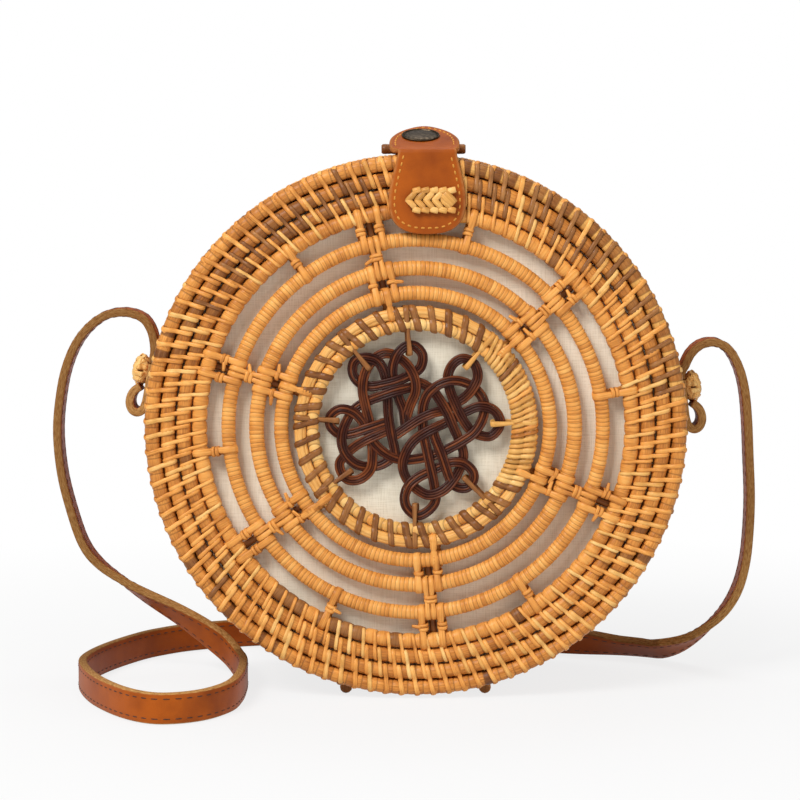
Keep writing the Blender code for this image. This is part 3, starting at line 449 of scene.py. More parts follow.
# Depths of the materials' relief
CANE_RELIEF = 0.00007
KNOT_RELIEF = 0.00001
CANVAS_RELIEF = 0.00012
LEATHER_RELIEF = 0.0002
THREAD_RELIEF = 0.0001
BRONZE_RELIEF = 0.00006
# Colour ramps, each stop with its place
HONEY = (
    (0.15, (0.19, 0.055, 0.008)), (0.4, (0.50, 0.175, 0.030)),
    (0.62, (0.80, 0.335, 0.068)), (0.9, (0.95, 0.52, 0.15)),
)
BROWN = ((0.1, (0.05, 0.013, 0.003)), (0.45, (0.19, 0.064, 0.015)), (0.8, (0.44, 0.19, 0.055)))
STRAW = ((0.15, (0.32, 0.13, 0.022)), (0.5, (0.76, 0.39, 0.095)), (0.9, (0.97, 0.65, 0.25)))
KNOT_BROWN = ((0.1, (0.012, 0.0015, 0.0006)), (0.5, (0.045, 0.007, 0.002)), (0.8, (0.2, 0.048, 0.010)))
RAW_EDGE = ((0.3, (0.26, 0.11, 0.03)), (0.5, (0.50, 0.25, 0.075)), (0.75, (0.68, 0.42, 0.16)))
CLOTH = ((0.2, (0.79, 0.71, 0.55)), (0.6, (0.92, 0.845, 0.69)))
BRONZE = ((0.3, (0.04, 0.028, 0.018)), (0.6, (0.085, 0.060, 0.036)), (0.85, (0.2, 0.14, 0.08)))
# Colour of the painted shade in grooves and on pieces with a low lit share
GROOVE_SHADE_COLOUR = (0.07, 0.022, 0.006)
STAIN = (0.72, 0.63, 0.48)
LEATHER_FACE = (0.42, 0.090, 0.004)
# Deep leather colour, for its clouds and for its painted shade
LEATHER_DEEP_AND_SHADE = (0.25, 0.046, 0.002)
# Colour of the painted shade on raw edges
EDGE_SHADE_COLOUR = (0.10, 0.033, 0.006)
DARK_THREAD = (0.09, 0.03, 0.014)
PALE_THREAD = (0.86, 0.36, 0.04)
FLOOR_GREY = (0.7, 0.7, 0.7)
WHITE = (1.0, 1.0, 1.0)
# Tints (tone, brown, pale, lit share) of hidden pieces; a lit share below one paints shade on them
SEAM_TINT = (0.1, 0.6, 0.0, 0.7)
# Dark brown with painted shade, so the gaps in the lashings look dark
SHADED_STAKE_TINT = (0.45, 0.8, 0.0, 0.75)
PLAIN_TINT = (0.5, 0, 0, 1)
KNOB_HEART_TINT = (0.2, 0.3, 0.5, 0.4)
KNOB_STEM_TINT = (0.3, 0, 0.5, 1)
BRAID_BASE_TINT = (0.2, 0.2, 0.8, 0.4)


def cane(name, plain=HONEY, dark=BROWN, roughness=0.45, relief=CANE_RELIEF, coat=0.05, shine=0.25, fine=1.0):
    """Split cane: fibres along the grain, blotches of tone, brown or pale strands, and painted shade in the
    grooves.
    """
    s = surface(name, roughness, Coat_Weight=coat, Coat_Roughness=0.25, Specular_IOR_Level=shine)
    grain = s.attribute("grain", "Vector")
    tone, brown, pale = s.parts(s.attribute("tint", "Color"))[:3]
    fibres = s.noise(s.scaled(grain, (0.09, 3.4 * fine, 1.0)), 1.0, 3.0)
    streaks = s.noise(s.scaled(grain, (0.25, 1.3 * fine, 1.0)), 1.0, 2.0)
    blotches = s.noise(s.place(), 160.0, 2.0)
    spread = s.maths("ADD", s.maths("MULTIPLY", fibres, 0.55), s.maths("MULTIPLY", streaks, 0.25))
    spread = s.maths("ADD", spread, s.maths("MULTIPLY", blotches, 0.35))
    value = s.maths("ADD", s.maths("MULTIPLY", tone, 0.5), s.maths("SUBTRACT", spread, 0.27))
    colour = s.mix(pale, s.ramp(value, plain), s.ramp(value, STRAW))
    colour = s.mix(brown, colour, s.ramp(value, dark))
    # Painted shade: the colour goes towards a dark brown where the tint's lit share is low
    groove_shade = s.between(s.attribute("tint", "Alpha"), 0.0, 1.0, 0.85, 0.0)
    s.put("Base Color", s.mix(groove_shade, colour, GROOVE_SHADE_COLOUR))
    s.bump(s.maths("ADD", fibres, s.maths("MULTIPLY", streaks, 0.5)), relief, 0.8)
    return s.material


def canvas():
    """Off-white plain-woven canvas with slubs and stains."""
    s = surface("off_white_canvas", 0.92)
    grain = s.attribute("grain", "Vector")
    across = s.noise(s.scaled(grain, (0.15, 3.2, 1.0)), 1.0, 2.0)
    down = s.noise(s.scaled(grain, (3.2, 0.15, 1.0)), 1.0, 2.0)
    weave = s.maths("ADD", across, down)
    stains = s.noise(s.place(), 45.0, 3.0)
    colour = s.ramp(s.between(weave, 0.7, 1.3), CLOTH)
    s.put("Base Color", s.mix(s.between(stains, 0.4, 0.7, 0.0, 0.5), colour, STAIN))
    s.bump(s.maths("ADD", weave, s.maths("MULTIPLY", stains, 2.0)), CANVAS_RELIEF, 0.6)
    return s.material


def leather(name, roughness=0.5):
    """Satin leather. The tint's brown says where it is a raw cut edge, and its tone how light it is: lower
    tones paint shade on its face and its raw edge.
    """
    s = surface(name, roughness, Coat_Weight=0.03, Coat_Roughness=0.35, Specular_IOR_Level=0.18)
    place = s.place()
    tone, raw = s.parts(s.attribute("tint", "Color"))[:2]
    pores = s.noise(place, 1500.0, 3.0)
    clouds = s.noise(place, 70.0, 3.0)
    fuzz = s.noise(s.scaled(s.attribute("grain", "Vector"), (0.5, 2.5, 1.0)), 1.0, 4.0)
    colour = s.mix(s.between(clouds, 0.35, 0.7), LEATHER_FACE, LEATHER_DEEP_AND_SHADE)
    # Painted shade: the face and the raw edges darken as the tone falls
    colour = s.mix(s.between(tone, 0.0, 1.0, 0.5, 0.0), colour, LEATHER_DEEP_AND_SHADE)
    edges = s.mix(s.between(tone, 0.0, 1.0, 0.75, 0.0), s.ramp(fuzz, RAW_EDGE), EDGE_SHADE_COLOUR)
    s.put("Base Color", s.mix(raw, colour, edges))
    s.put("Roughness", s.between(raw, 0.0, 1.0, roughness, 0.95))
    s.bump(s.mix(raw, s.grey(pores, 0.4), s.grey(fuzz, 1)), LEATHER_RELIEF, 0.7)
    return s.material


def thread(name, colour):
    s = surface(name, 0.7)
    twist = s.noise(s.scaled(s.attribute("grain", "Vector"), (3.0, 3.0, 1.0)), 1.0, 2.0)
    s.put("Base Color", s.mix(twist, colour, tuple(0.45 * c for c in colour)))
    s.bump(twist, THREAD_RELIEF)
    return s.material


def metal():
    """Aged bronze with rubbed patches."""
    s = surface("aged_bronze", 0.34, Metallic=1.0)
    wear = s.noise(s.place(), 700.0, 4.0)
    s.put("Base Color", s.ramp(wear, BRONZE))
    s.put("Roughness", s.between(wear, 0.3, 0.8, 0.5, 0.28))
    s.bump(wear, BRONZE_RELIEF)
    return s.material


def tones(count, low=0.35, high=0.8, brown=0.0, pale=0.0):
    """Tints for a number of strips. Brown and pale are the shares of strips so dyed, or one share each."""
    tints = np.ones((count, 4))
    tints[:, 0] = RANDOM.uniform(low, high, count)
    tints[:, 1] = RANDOM.random(count) < brown
    tints[:, 2] = (RANDOM.random(count) < pale) * RANDOM.uniform(0.5, 1.0, count)
    return tints


# Places of a wrap's four lines of points as shares of its width, and their shares of the bulge
WRAP_PLACE_SHARES = np.array((0.0, 0.14, 0.5, 0.86))
WRAP_BULGE_SHARES = np.array((-1.0, 0.4, 1.0, 0.4))
# Lit share at the grooves between wraps, which paints shade there
GROOVE_LIT_SHARE = 0.4


def wrapped_coil(batch, radius, y, size, bulge, lean, wrap_tints, sides=10, bare=False):
    """A coil round the bag's axis, wound with cane that leans, or bare with its fibres along it."""
    wraps, steps = len(wrap_tints), len(WRAP_BULGE_SHARES)
    way = 1 if y > 0 else -1
    phi = circle_angles(sides)
    places = (np.arange(wraps)[:, None] + WRAP_PLACE_SHARES).reshape(-1, 1)
    theta = 2 * np.pi * places / wraps + np.sin(phi) * lean / radius
    reach = size + bulge * np.tile(WRAP_BULGE_SHARES, wraps)[:, None]
    points = AXIS + radial(theta) * (radius + reach * np.cos(phi))[..., None]
    points[..., 1] = y + reach * np.sin(phi) * way
    tints = np.repeat(wrap_tints, steps, 0)
    tints[::steps] = (tints[::steps] + np.roll(tints, 1, 0)[::steps]) / 2
    # Painted shade in the grooves between the wraps
    tints[::steps, 3] = GROOVE_LIT_SHARE
    grain = np.zeros(points.shape)
    along, across = (0, 1) if bare else (1, 0)
    grain[..., across] = phi * size * GRAIN_UNIT
    grain[..., along] = theta * radius * GRAIN_UNIT
    grain[..., 2] = np.repeat(RANDOM.random(wraps) * GRAIN_SPREAD, steps)[:, None]
    batch.add(points, quads(points, (True, True))[:, ::way], tints[:, None], grain)


def plain_coil(batch, radius, y, size, tint, sides=10):
    """A bare cane bent round the bag's axis, with its fibres along it."""
    theta = circle_angles(COIL_STEPS)
    lines = AXIS + radial(theta) * (radius + RANDOM.normal(0, COIL_WOBBLE, COIL_STEPS))[:, None]
    lines[:, 1] = y
    batch.sweep(lines, radial(theta) * size, FRONT * size, arc_section(sides), tint, closed=True)


# A strip's turns over each coil in degrees, and along the whole strip its width shares and its lifts
STITCH_TURNS = (-86, -60, -34, -8, 20, 46)
STITCH_WIDTH_SHARES = np.array((0.75, 0.95, 1.0, 1.0, 1.0, 0.96, 0.96, 1.0, 1.0, 1.0, 0.95, 0.75))
STITCH_LIFTS = np.array((-6, -1, 1, 1, 1, 0, 0, 1, 1, 1, -1, -6)) * STITCH_LIFT


def stitch_row(
    batch, first, second, theta, width, tints, turns=STITCH_TURNS, size=CORE_SIZE, slant=STITCH_SLANT,
    thickness=STITCH_THICKNESS, shares=STITCH_WIDTH_SHARES, lifts=STITCH_LIFTS,
):
    """Strips over two coils, each (radius, y, outward direction in degrees from the radius to the front)."""
    turns = np.radians(turns)
    places, normals = [], []
    for (radius, y, facing), (to_radius, to_y, _), way in ((first, second, 1), (second, first, -1)):
        facing = math.radians(facing)
        out = np.array((math.cos(facing), -math.sin(facing)))
        ahead = np.array((to_radius - radius, to_y - y)) * way
        ahead = unit(ahead - out * ahead.dot(out))
        angles = turns[::way, None] * way
        normals.append(np.cos(angles) * out + np.sin(angles) * ahead)
        places.append((radius, y) + normals[-1] * size)
    normals = np.vstack(normals)
    places = np.vstack(places) + normals * lifts[:, None]
    angles = theta[:, None] + slant * np.linspace(-0.5, 0.5, len(places)) / max(first[0], COIL_PITCH)
    lines = AXIS + radial(angles) * places[:, :1]
    lines[..., 1] += places[:, 1]
    outs = radial(angles) * normals[:, :1]
    outs[..., 1] += normals[:, 1]
    wides = unit(np.cross(outs, run_of(lines))) * (shares * width)[..., None]
    batch.sweep(lines, wides, outs * thickness, SPLIT_CANE, tints)


# Where strips of the front band are dyed brown: row from the outside, clock angles from and to, and the share
BROWN_ZONES = (
    (0, 12, 82, 0.85), (1, 8, 48, 0.7), (0, 324, 352, 0.45),
    (1, 292, 350, 0.55), (3, 182, 216, 0.8), (0, 215, 265, 0.1),
)
# Clock angles between which the front band is darker, and by how much
DUSK = (285, 352)
DUSK_DEPTH = 0.28
# Clock angles between which the corner coil is brown and pale by turns, and how brown at both ends
TWO_TONE = (8, 84)
TWO_TONE_BROWN = (0.95, 0.3)


def brown_shares(row, theta):
    shares = np.full(theta.shape, 0.012)
    for zone_row, start, end, share in BROWN_ZONES:
        if zone_row == row:
            shares[lies_between(theta, start, end)] = share
    return shares


def dusk_shares(theta):
    return DUSK_DEPTH * lies_between(theta, *DUSK)


def stitch_angles(count, row):
    theta = 2 * np.pi * (np.arange(count) + 0.5 * (row % 2)) / count
    return theta + RANDOM.normal(0, STITCH_SCATTER, count) * 2 * np.pi / count


def shell_side(batch, facing):
    """The side rows of one half, from the corner coil to its edge."""
    ys = [facing * (FACE_COIL_Y - k * SIDE_PITCH) for k in range(SIDE_COILS + 1)]
    for k, y in enumerate(ys):
        core_tints = tones(2 * STITCHES, 0.2, 0.5, 0.08)
        if facing < 0 and not k:
            dyed = lies_between(circle_angles(2 * STITCHES), *TWO_TONE)
            dark = np.arange(dyed.sum()) % 2
            core_tints[dyed, 1] = dark * np.linspace(*TWO_TONE_BROWN, len(dark))
            core_tints[dyed, 2] = 0.9 * (1 - dark)
        wrapped_coil(batch, CORNER_RADIUS, y, CORE_SIZE, WRAP_BULGE, 0, core_tints, bare=True)
        if k:
            theta = stitch_angles(STITCHES, k + 1)
            tints = tones(STITCHES, 0.35, 0.85, 0.07, 0.15)
            pair = [(CORNER_RADIUS, place, 0) for place in ys[k - 1:k + 1]]
            stitch_row(batch, *pair, theta, STITCH_WIDTH, tints)
    for y in [(ys[-1] + ys[-2]) / 2] + [0.0] * (facing > 0):
        plain_coil(batch, CORNER_RADIUS - SEAM_ROPE_DEPTH, y, SEAM_ROPE, SEAM_TINT, 8)


def shell_face(batch, facing, coils):
    """The coils of a face inwards from the corner coil, sewn to each other."""
    y = facing * FACE_COIL_Y
    for k in range(coils):
        radius = CORNER_RADIUS - k * COIL_PITCH
        count = max(8, round(STITCHES * radius / CORNER_RADIUS)) if coils > BAND_COILS else STITCHES
        if k:
            theta = circle_angles(count)
            core_tints = tones(count, 0.15, 0.45, 0.03 + dusk_shares(theta))
            core_tints[:, 0] -= dusk_shares(theta) * (1 - core_tints[:, 1])
            core_tints[:, 1] *= 0.75
            lip = k + 1 == BAND_COILS == coils
            if lip:
                core_tints[:, 0] += 0.25
                core_tints[:, 1] = brown_shares(k, theta) > RANDOM.random(count)
            bulge, lean = (LIP_BULGE, STITCH_WIDTH / 2) if lip else (WRAP_BULGE, 0)
            wrapped_coil(batch, radius, y, CORE_SIZE, bulge, lean, core_tints, bare=not lip)
        if k + 1 < coils:
            theta = stitch_angles(count, k)
            tints = tones(count, 0.5, 0.95, 0, 0.25)
            tints[:, 0] -= 0.4 * dusk_shares(theta)
            tints[:, 1] = RANDOM.random(count) < (brown_shares(k, theta) if facing < 0 else 0.03)
            pair = [(place, y, -facing * 90) for place in (radius, radius - COIL_PITCH)]
            stitch_row(batch, *pair, theta, STITCH_WIDTH * (1 - STITCH_NARROWING * min(k, 2)), tints)


def shells(material):
    for half, facing, coils in (("front", -1, BAND_COILS), ("back", 1, DISC_COILS)):
        batch = Batch()
        shell_side(batch, facing)
        shell_face(batch, facing, coils)
        if facing > 0:
            centre = max(CORNER_RADIUS - coils * COIL_PITCH, COIL_RADIUS)
            wrapped_coil(batch, centre, FACE_COIL_Y, CORE_SIZE, WRAP_BULGE, 0, tones(12))
        batch.piece(f"{half}_shell_coils", material, "rattan_honey", f"{half}_half", f"{half}_shell")


def ring_size(node):
    """(radius of the middle line, radius of the cane) of one of the frame's six-sided rings."""
    low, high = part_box(node)
    size = (high.y - low.y) / 2
    return (high.x - low.x) / 2 - math.cos(math.radians(30)) * size, size


def rings(material):
    for node in RINGS:
        radius, size = ring_size(node)
        batch = Batch()
        wraps = tones(round(2 * math.pi * radius / RING_WRAP_PITCH), 0.45, 0.85)
        wrapped_coil(batch, radius, -FACE_COIL_Y, size - RING_BULGE / 2, RING_BULGE, RING_LEAN, wraps, 14)
        batch.piece(f"{node}_wraps", material, "rattan_honey", "front_half", node)


def loop_line(rods, pinch):
    """Points (s, w) of a closed loop round rods (s, radius) in a row, and how far each is drawn together."""
    (low, low_size), (high, high_size) = min(rods), max(rods)
    turns = np.radians(np.linspace(-118, 118, 11))
    round_rod = np.stack([np.cos(turns), np.sin(turns)], -1)
    far = (high, 0) + round_rod * (high_size + LASH_GAP)
    near = (low, 0) + (round_rod * (-1, 1) * (low_size + LASH_GAP))[::-1]
    middle = (high - high_size + low + low_size) / 2
    shoulder = (high - high_size - low - low_size) / 4
    depths = np.array((1.25, 1.0, 1.25)) * pinch * (low_size + high_size) / 2
    down = np.stack([middle + shoulder * np.array((1, 0, -1)), depths], -1)
    line = np.vstack([far, down, near, down[::-1] * (1, -1)])
    return line, np.tile(np.append(np.ones(11), (0.82, 0.68, 0.82)), 2)


def bind(batch, lines, across, widths, tints):
    """Closed loops of split cane, with their widths across the given direction."""
    run = run_of(lines, closed=True)
    wides = unit(across - run * (run @ across)[..., None])
    thicks = outward(lines, np.cross(run, wides)) * LASH_THICKNESS
    batch.sweep(lines, wides * LASH_FILL * widths, thicks, SPLIT_CANE, tints, closed=True)


def clock_axes(clock):
    """Outwards and clockwise at a clock angle in degrees."""
    angle = math.radians(clock)
    return radial(angle), clockwise(angle)


def lash(batch, rods, clock, aside, turns, tints, pinch=0.5, width=LASH_PITCH, skew=LASH_SKEW):
    """Turns of cane side by side round rods that lie across a clock direction of the front."""
    line, squeeze = loop_line(rods, pinch)
    out, side = clock_axes(clock)
    asides = (np.arange(turns) - (turns - 1) / 2) * width
    places = aside + asides[:, None] * squeeze + skew * np.sign(line[:, 1])
    lines = FACE_AXIS + out * line[:, :1] + FRONT * line[:, 1:] + side * places[..., None]
    bind(batch, lines, side, (width * squeeze)[:, None], tints)


def collar(batch, place, half_side, half_depth, clock, aside, turns):
    """Turns round a lashing in the gap between two rods, and at times one trimmed end that points away."""
    tints = tones(turns, 0.45, 0.7)
    out, side = clock_axes(clock)
    turn = circle_angles(18)
    asides, fronts = (np.sign(way) * np.abs(way) ** COLLAR_SQUARENESS for way in (np.cos(turn), np.sin(turn)))
    steps = (np.arange(turns) - (turns - 1) / 2) * COLLAR_WIDTH
    tilt = COLLAR_TILT * COLLAR_WIDTH * np.sin(turn)
    lines = FACE_AXIS + side * (asides * half_side + aside)[:, None] + FRONT * (fronts * half_depth)[:, None]
    lines = lines + out * (place + steps[:, None] + tilt)[..., None]
    thicks = outward(lines, np.cross(run_of(lines, closed=True), out)) * LASH_THICKNESS
    batch.sweep(lines, out * COLLAR_WIDTH, thicks, SPLIT_CANE, tints, closed=True)
    way = RANDOM.choice((-1.0, 1.0))
    if RANDOM.random() > OFFCUT_SHARE:
        return
    start = FACE_AXIS + out * place + side * (aside + way * half_side * 0.6) + FRONT * half_depth * 0.9
    end = start + (side * way * 2.2 + out * RANDOM.uniform(-1, 1)) * COLLAR_WIDTH - FRONT * half_depth * 0.3
    line = start + (end - start) * np.linspace(0, 1, 5)[:, None]
    run = unit(end - start)
    wide = unit(np.cross(FRONT, run))
    wides = wide * COLLAR_WIDTH * np.array((1.0, 1.0, 0.95, 0.85, 0.7))[:, None]
    batch.sweep(line, wides, np.cross(run, wide) * LASH_THICKNESS, SPLIT_CANE, tints[:1], caps=True)


def gap_tie(batch, rods, clock, aside, turns, width):
    """A lashing across one gap of the openwork, drawn together by a collar."""
    lash(batch, rods, clock, aside, turns, tones(turns, 0.45, 0.8), width=width)
    (low, low_size), (high, high_size) = min(rods), max(rods)
    half_side = 0.36 * turns * width + LASH_THICKNESS
    half_depth = 0.27 * (low_size + high_size) + LASH_THICKNESS * 1.6
    count = 2 if high - high_size - low - low_size > 2.6 * COLLAR_WIDTH else 1
    collar(batch, (high - high_size + low + low_size) / 2, half_side, half_depth, clock, aside, count)


def stake(batch, clock, ends):
    """A flat cane behind the rings, between the two ties of each pair, dark brown with painted shade so the
    gaps in the lashings look dark.
    """
    out, side = clock_axes(clock)
    line = FACE_AXIS - FRONT * STAKE_DEPTH + out * np.linspace(*ends, 9)[:, None]
    batch.sweep(line, side * STAKE_SIZE, FRONT * STAKE_THICKNESS, SPLIT_CANE, SHADED_STAKE_TINT, caps=True)


def openwork_ties(material):
    lip = (LIP_COIL_RADIUS, COIL_RADIUS)
    outer, middle, inner = map(ring_size, RINGS)
    for number, clock in enumerate(RIM_TIE_CLOCKS, 1):
        batch = Batch()
        gap_tie(batch, (lip, outer), clock, 0.0, 1, PAIR_TIE_WIDTH)
        batch.piece(f"rim_tie_{number}_cane", material, "rattan_honey", "front_half", f"rim_tie_{number}")
    for number, (clock, hoop_side) in enumerate(zip(SPOKE_CLOCKS, HOOP_TIE_SIDES), 1):
        node = f"spoke_lashing_{number}"
        batch = Batch()
        for side in (-1, 1):
            for rods in ((lip, outer), (middle, inner)):
                gap_tie(batch, rods, clock, side * PAIR_ASIDE, 1, PAIR_TIE_WIDTH)
        stake(batch, clock, (inner[0], lip[0]))
        gap_tie(batch, (outer, middle), clock, 0.0, 2, SINGLE_TIE_WIDTH)
        rods = (inner, (HOOP_OUTER, HOOP_SIZE))
        tints = tones(1, 0.45, 0.75)
        lash(batch, rods, clock, hoop_side * PAIR_ASIDE, 1, tints, 1.0, PAIR_TIE_WIDTH, HOOP_TIE_SKEW)
        batch.piece(f"{node}_cane", material, "rattan_honey", "front_half", node)


def hoop_stitches(batch, theta, widths, tints):
    """Flat cane over both canes of the hoop, from its outer edge in to its inner edge."""
    rods = [(radius, -FACE_COIL_Y, 90) for radius in (HOOP_OUTER, HOOP_INNER)]
    even = np.ones(2 * len(HOOP_TURNS))
    strip = (HOOP_TURNS, HOOP_SIZE + LASH_GAP, HOOP_SLANT, LASH_THICKNESS, even, 0 * even)
    stitch_row(batch, *rods, theta, widths[:, None], tints, *strip)


def hoop(straw):
    batch = Batch()
    size = 0.55 * HOOP_SIZE
    for angle in np.radians((-55, 0, 55)):
        radius = HOOP_OUTER + (HOOP_SIZE - size) * math.sin(angle) * 1.15
        y = -FACE_COIL_Y - (HOOP_SIZE - size) * math.cos(angle)
        plain_coil(batch, radius, y, size, tones(1, 0.5, 0.7, 0, 1)[0])
    plain_coil(batch, HOOP_OUTER, -FACE_COIL_Y + 0.3 * HOOP_SIZE, 0.75 * HOOP_SIZE, tones(1)[0])
    wraps = tones(2 * HOOP_STITCHES, 0.45, 0.9, 0, 0.8)
    wrapped_coil(batch, HOOP_INNER, -FACE_COIL_Y, HOOP_SIZE - LASH_GAP, 2 * RING_BULGE, HOOP_LEAN, wraps, 12)
    theta = circle_angles(HOOP_STITCHES)
    pale = lies_between(theta, *PALE_HOOP)
    tints = tones(HOOP_STITCHES, 0.3, 0.7)
    tints[:, 1] = 0.94 * ~pale
    tints[:, 2] = pale
    widths = HOOP_STITCH_WIDTH * RANDOM.uniform(0.7, 0.95, HOOP_STITCHES) * np.where(pale, 0.72, 1)
    hoop_stitches(batch, theta, widths, tints)
    between = (theta[pale][:, None] + np.array((0.33, 0.66)) * theta[1]).ravel()
    widths = HOOP_STITCH_WIDTH * RANDOM.uniform(0.5, 0.66, len(between))
    hoop_stitches(batch, between, widths, tones(len(between), 0.1, 0.8, 0.12, 0.8))
    batch.piece("centre_hoop_cane", straw, "rattan_straw", "front_half", "centre_hoop")


# Knot ornament, in pixels of the photograph about the window's centre
WINDOW_PIXEL = (418.0, 428.0)
PIXEL = 0.000368
KNOT_STRANDS = 4
STRAND_DIAMETER = 0.00092
KNOT_LEVEL = 0.00052
KNOT_STEP = 0.0007
# Middle lines of its cane bands: photograph x, y, and 1 over, -1 under or 0 beside what it crosses
KNOT_PIXELS = (
    (
        (408, 432, -1), (406, 412, 0), (401, 398, -1), (397, 384, -1), (395, 370, 0), (399, 356, 1),
        (408, 347, 0), (418, 347, 0), (425, 356, 0), (423, 368, 0), (414, 375, -1), (400, 381, 1),
        (385, 385, 1), (373, 387, -1), (361, 383, -1), (355, 373, 0), (357, 362, 0), (367, 358, 1),
        (379, 361, 0), (386, 371, 0), (389, 385, -1), (390, 402, -1), (391, 418, 0), (394, 436, 1),
        (397, 450, 0), (399, 462, -1),
    ),
    (
        (408, 420, -1), (413, 405, 1), (418, 392, 1), (417, 379, 1), (410, 366, 0), (399, 357, -1),
        (387, 354, 0), (375, 361, -1), (367, 375, 0), (365, 391, 1), (368, 407, 1), (372, 424, -1),
        (374, 440, -1), (375, 455, 0), (373, 470, 1), (363, 480, 0), (351, 481, 0), (344, 474, 0),
        (342, 464, -1), (349, 455, -1), (358, 447, 0), (370, 440, 1), (386, 433, 0), (393, 430, -1),
    ),
    (
        (393, 422, -1), (385, 424, 0), (370, 429, 1), (355, 434, 0), (342, 435, -1), (333, 427, 0),
        (333, 417, 0), (342, 410, 1), (354, 412, 1), (364, 421, 0), (370, 433, 0), (378, 446, 0),
        (390, 456, 0), (405, 461, 0), (425, 459, -1), (440, 455, -1), (452, 449, 0), (463, 443, 1),
        (476, 434, 1), (484, 422, 0), (487, 410, -1), (485, 399, 0), (477, 389, -1), (467, 383, 0),
        (455, 381, 1), (442, 385, 1), (431, 394, 0), (426, 405, 0), (425, 418, -1), (426, 435, -1),
        (429, 450, 1), (433, 468, 1), (437, 487, -1), (438, 502, 0), (431, 512, 0), (420, 517, 0),
        (410, 510, 0), (407, 499, 1), (411, 487, 1), (420, 479, 0), (432, 473, -1), (445, 467, -1),
        (455, 463, 1), (466, 464, 1), (475, 472, 0), (476, 481, 0), (469, 489, 0), (459, 488, -1),
        (453, 481, 0), (449, 470, 1), (444, 455, 1), (438, 440, 0), (435, 430, -1),
    ),
    (
        (414, 388, -1), (400, 391, 1), (385, 396, 1), (370, 402, -1), (357, 410, -1), (348, 424, 0),
        (344, 440, 1), (348, 455, 1), (358, 465, 0), (370, 468, -1), (383, 466, 0), (396, 458, -1),
    ),
    (
        (391, 440, -1), (402, 433, 0), (420, 421, 0), (435, 414, 1), (447, 411, -1), (456, 405, -1),
        (466, 399, 0), (475, 389, 1), (480, 377, 0), (476, 364, 0), (465, 359, 0), (455, 365, 0),
        (450, 377, -1), (452, 390, -1), (457, 403, 1), (464, 418, 1), (473, 431, -1), (482, 436, 0),
        (493, 437, 0), (501, 429, 0), (502, 419, 0), (495, 410, 0), (483, 407, 1), (471, 411, 0),
        (460, 417, -1), (447, 424, -1), (432, 431, 1), (418, 440, 0), (409, 452, 1), (405, 465, 1),
        (408, 478, 0), (416, 488, -1), (430, 496, 1), (445, 492, 1), (456, 481, 0), (463, 468, -1),
        (466, 455, 0), (462, 442, -1), (456, 428, 1), (450, 414, 1), (443, 402, 0), (436, 392, -1),
        (428, 386, -1), (418, 382, -1),
    ),
)
# Clock direction of each tie, how far out in pixels it takes the ornament, and 1 if it is pale
KNOT_TIES = (
    (355.0, 80.5, 0), (39.5, 85.0, 1), (87.0, 83.5, 1), (135.5, 77.5, 0),
    (180.0, 85.0, 0), (235.5, 85.0, 0), (274.5, 85.0, 0), (321.0, 82.0, 0),
)


def knot(material):
    """The ornament: bands of four canes side by side that pass over and under each other."""
    batch = Batch()
    half = 0.53 * STRAND_DIAMETER
    for pixels in KNOT_PIXELS:
        x, y, level = np.array(pixels, float).T
        route = ((x - WINDOW_PIXEL[0]) * PIXEL, -level * KNOT_LEVEL, (WINDOW_PIXEL[1] - y) * PIXEL)
        line = smooth_line(np.stack(route, -1), KNOT_STEP) + FACE_AXIS
        run = run_of(line)
        wide = unit(np.cross(run, FRONT))
        thick = np.cross(run, wide)
        thick *= -np.sign(thick[:, 1:2])
        for strand in range(KNOT_STRANDS):
            sway = np.sin(np.arange(len(line)) * RANDOM.uniform(0.08, 0.16) + RANDOM.uniform(0, 6)) * 0.05
            aside = (strand - (KNOT_STRANDS - 1) / 2 + sway) * STRAND_DIAMETER
            strand_line = line + wide * aside[:, None] + FRONT * 0.12 * STRAND_DIAMETER * (strand % 2)
            tints = tones(1, 0.05, 0.85)
            batch.sweep(strand_line, wide * half, thick * half, arc_section(8), tints, caps=True)
    batch.piece("knot_ornament_strands", material, "rattan_dark", "front_half", "knot_ornament")


def knot_ties(material):
    for number, (clock, reach, pale) in enumerate(KNOT_TIES, 1):
        batch = Batch()
        rods = ((HOOP_OUTER, HOOP_SIZE), (reach * PIXEL - 2 * STRAND_DIAMETER, STRAND_DIAMETER))
        tints = tones(1, 0.3, 0.6, 1 - pale, pale)
        tints[:, 1] *= 0.95
        lash(batch, rods, clock, 0.0, 1, tints, 0.7, SINGLE_TIE_WIDTH, KNOT_TIE_SKEW)
        slot = "rattan_straw" if pale else "rattan_dark"
        batch.piece(f"knot_tie_{number}_cane", material, slot, "front_half", f"knot_tie_{number}")


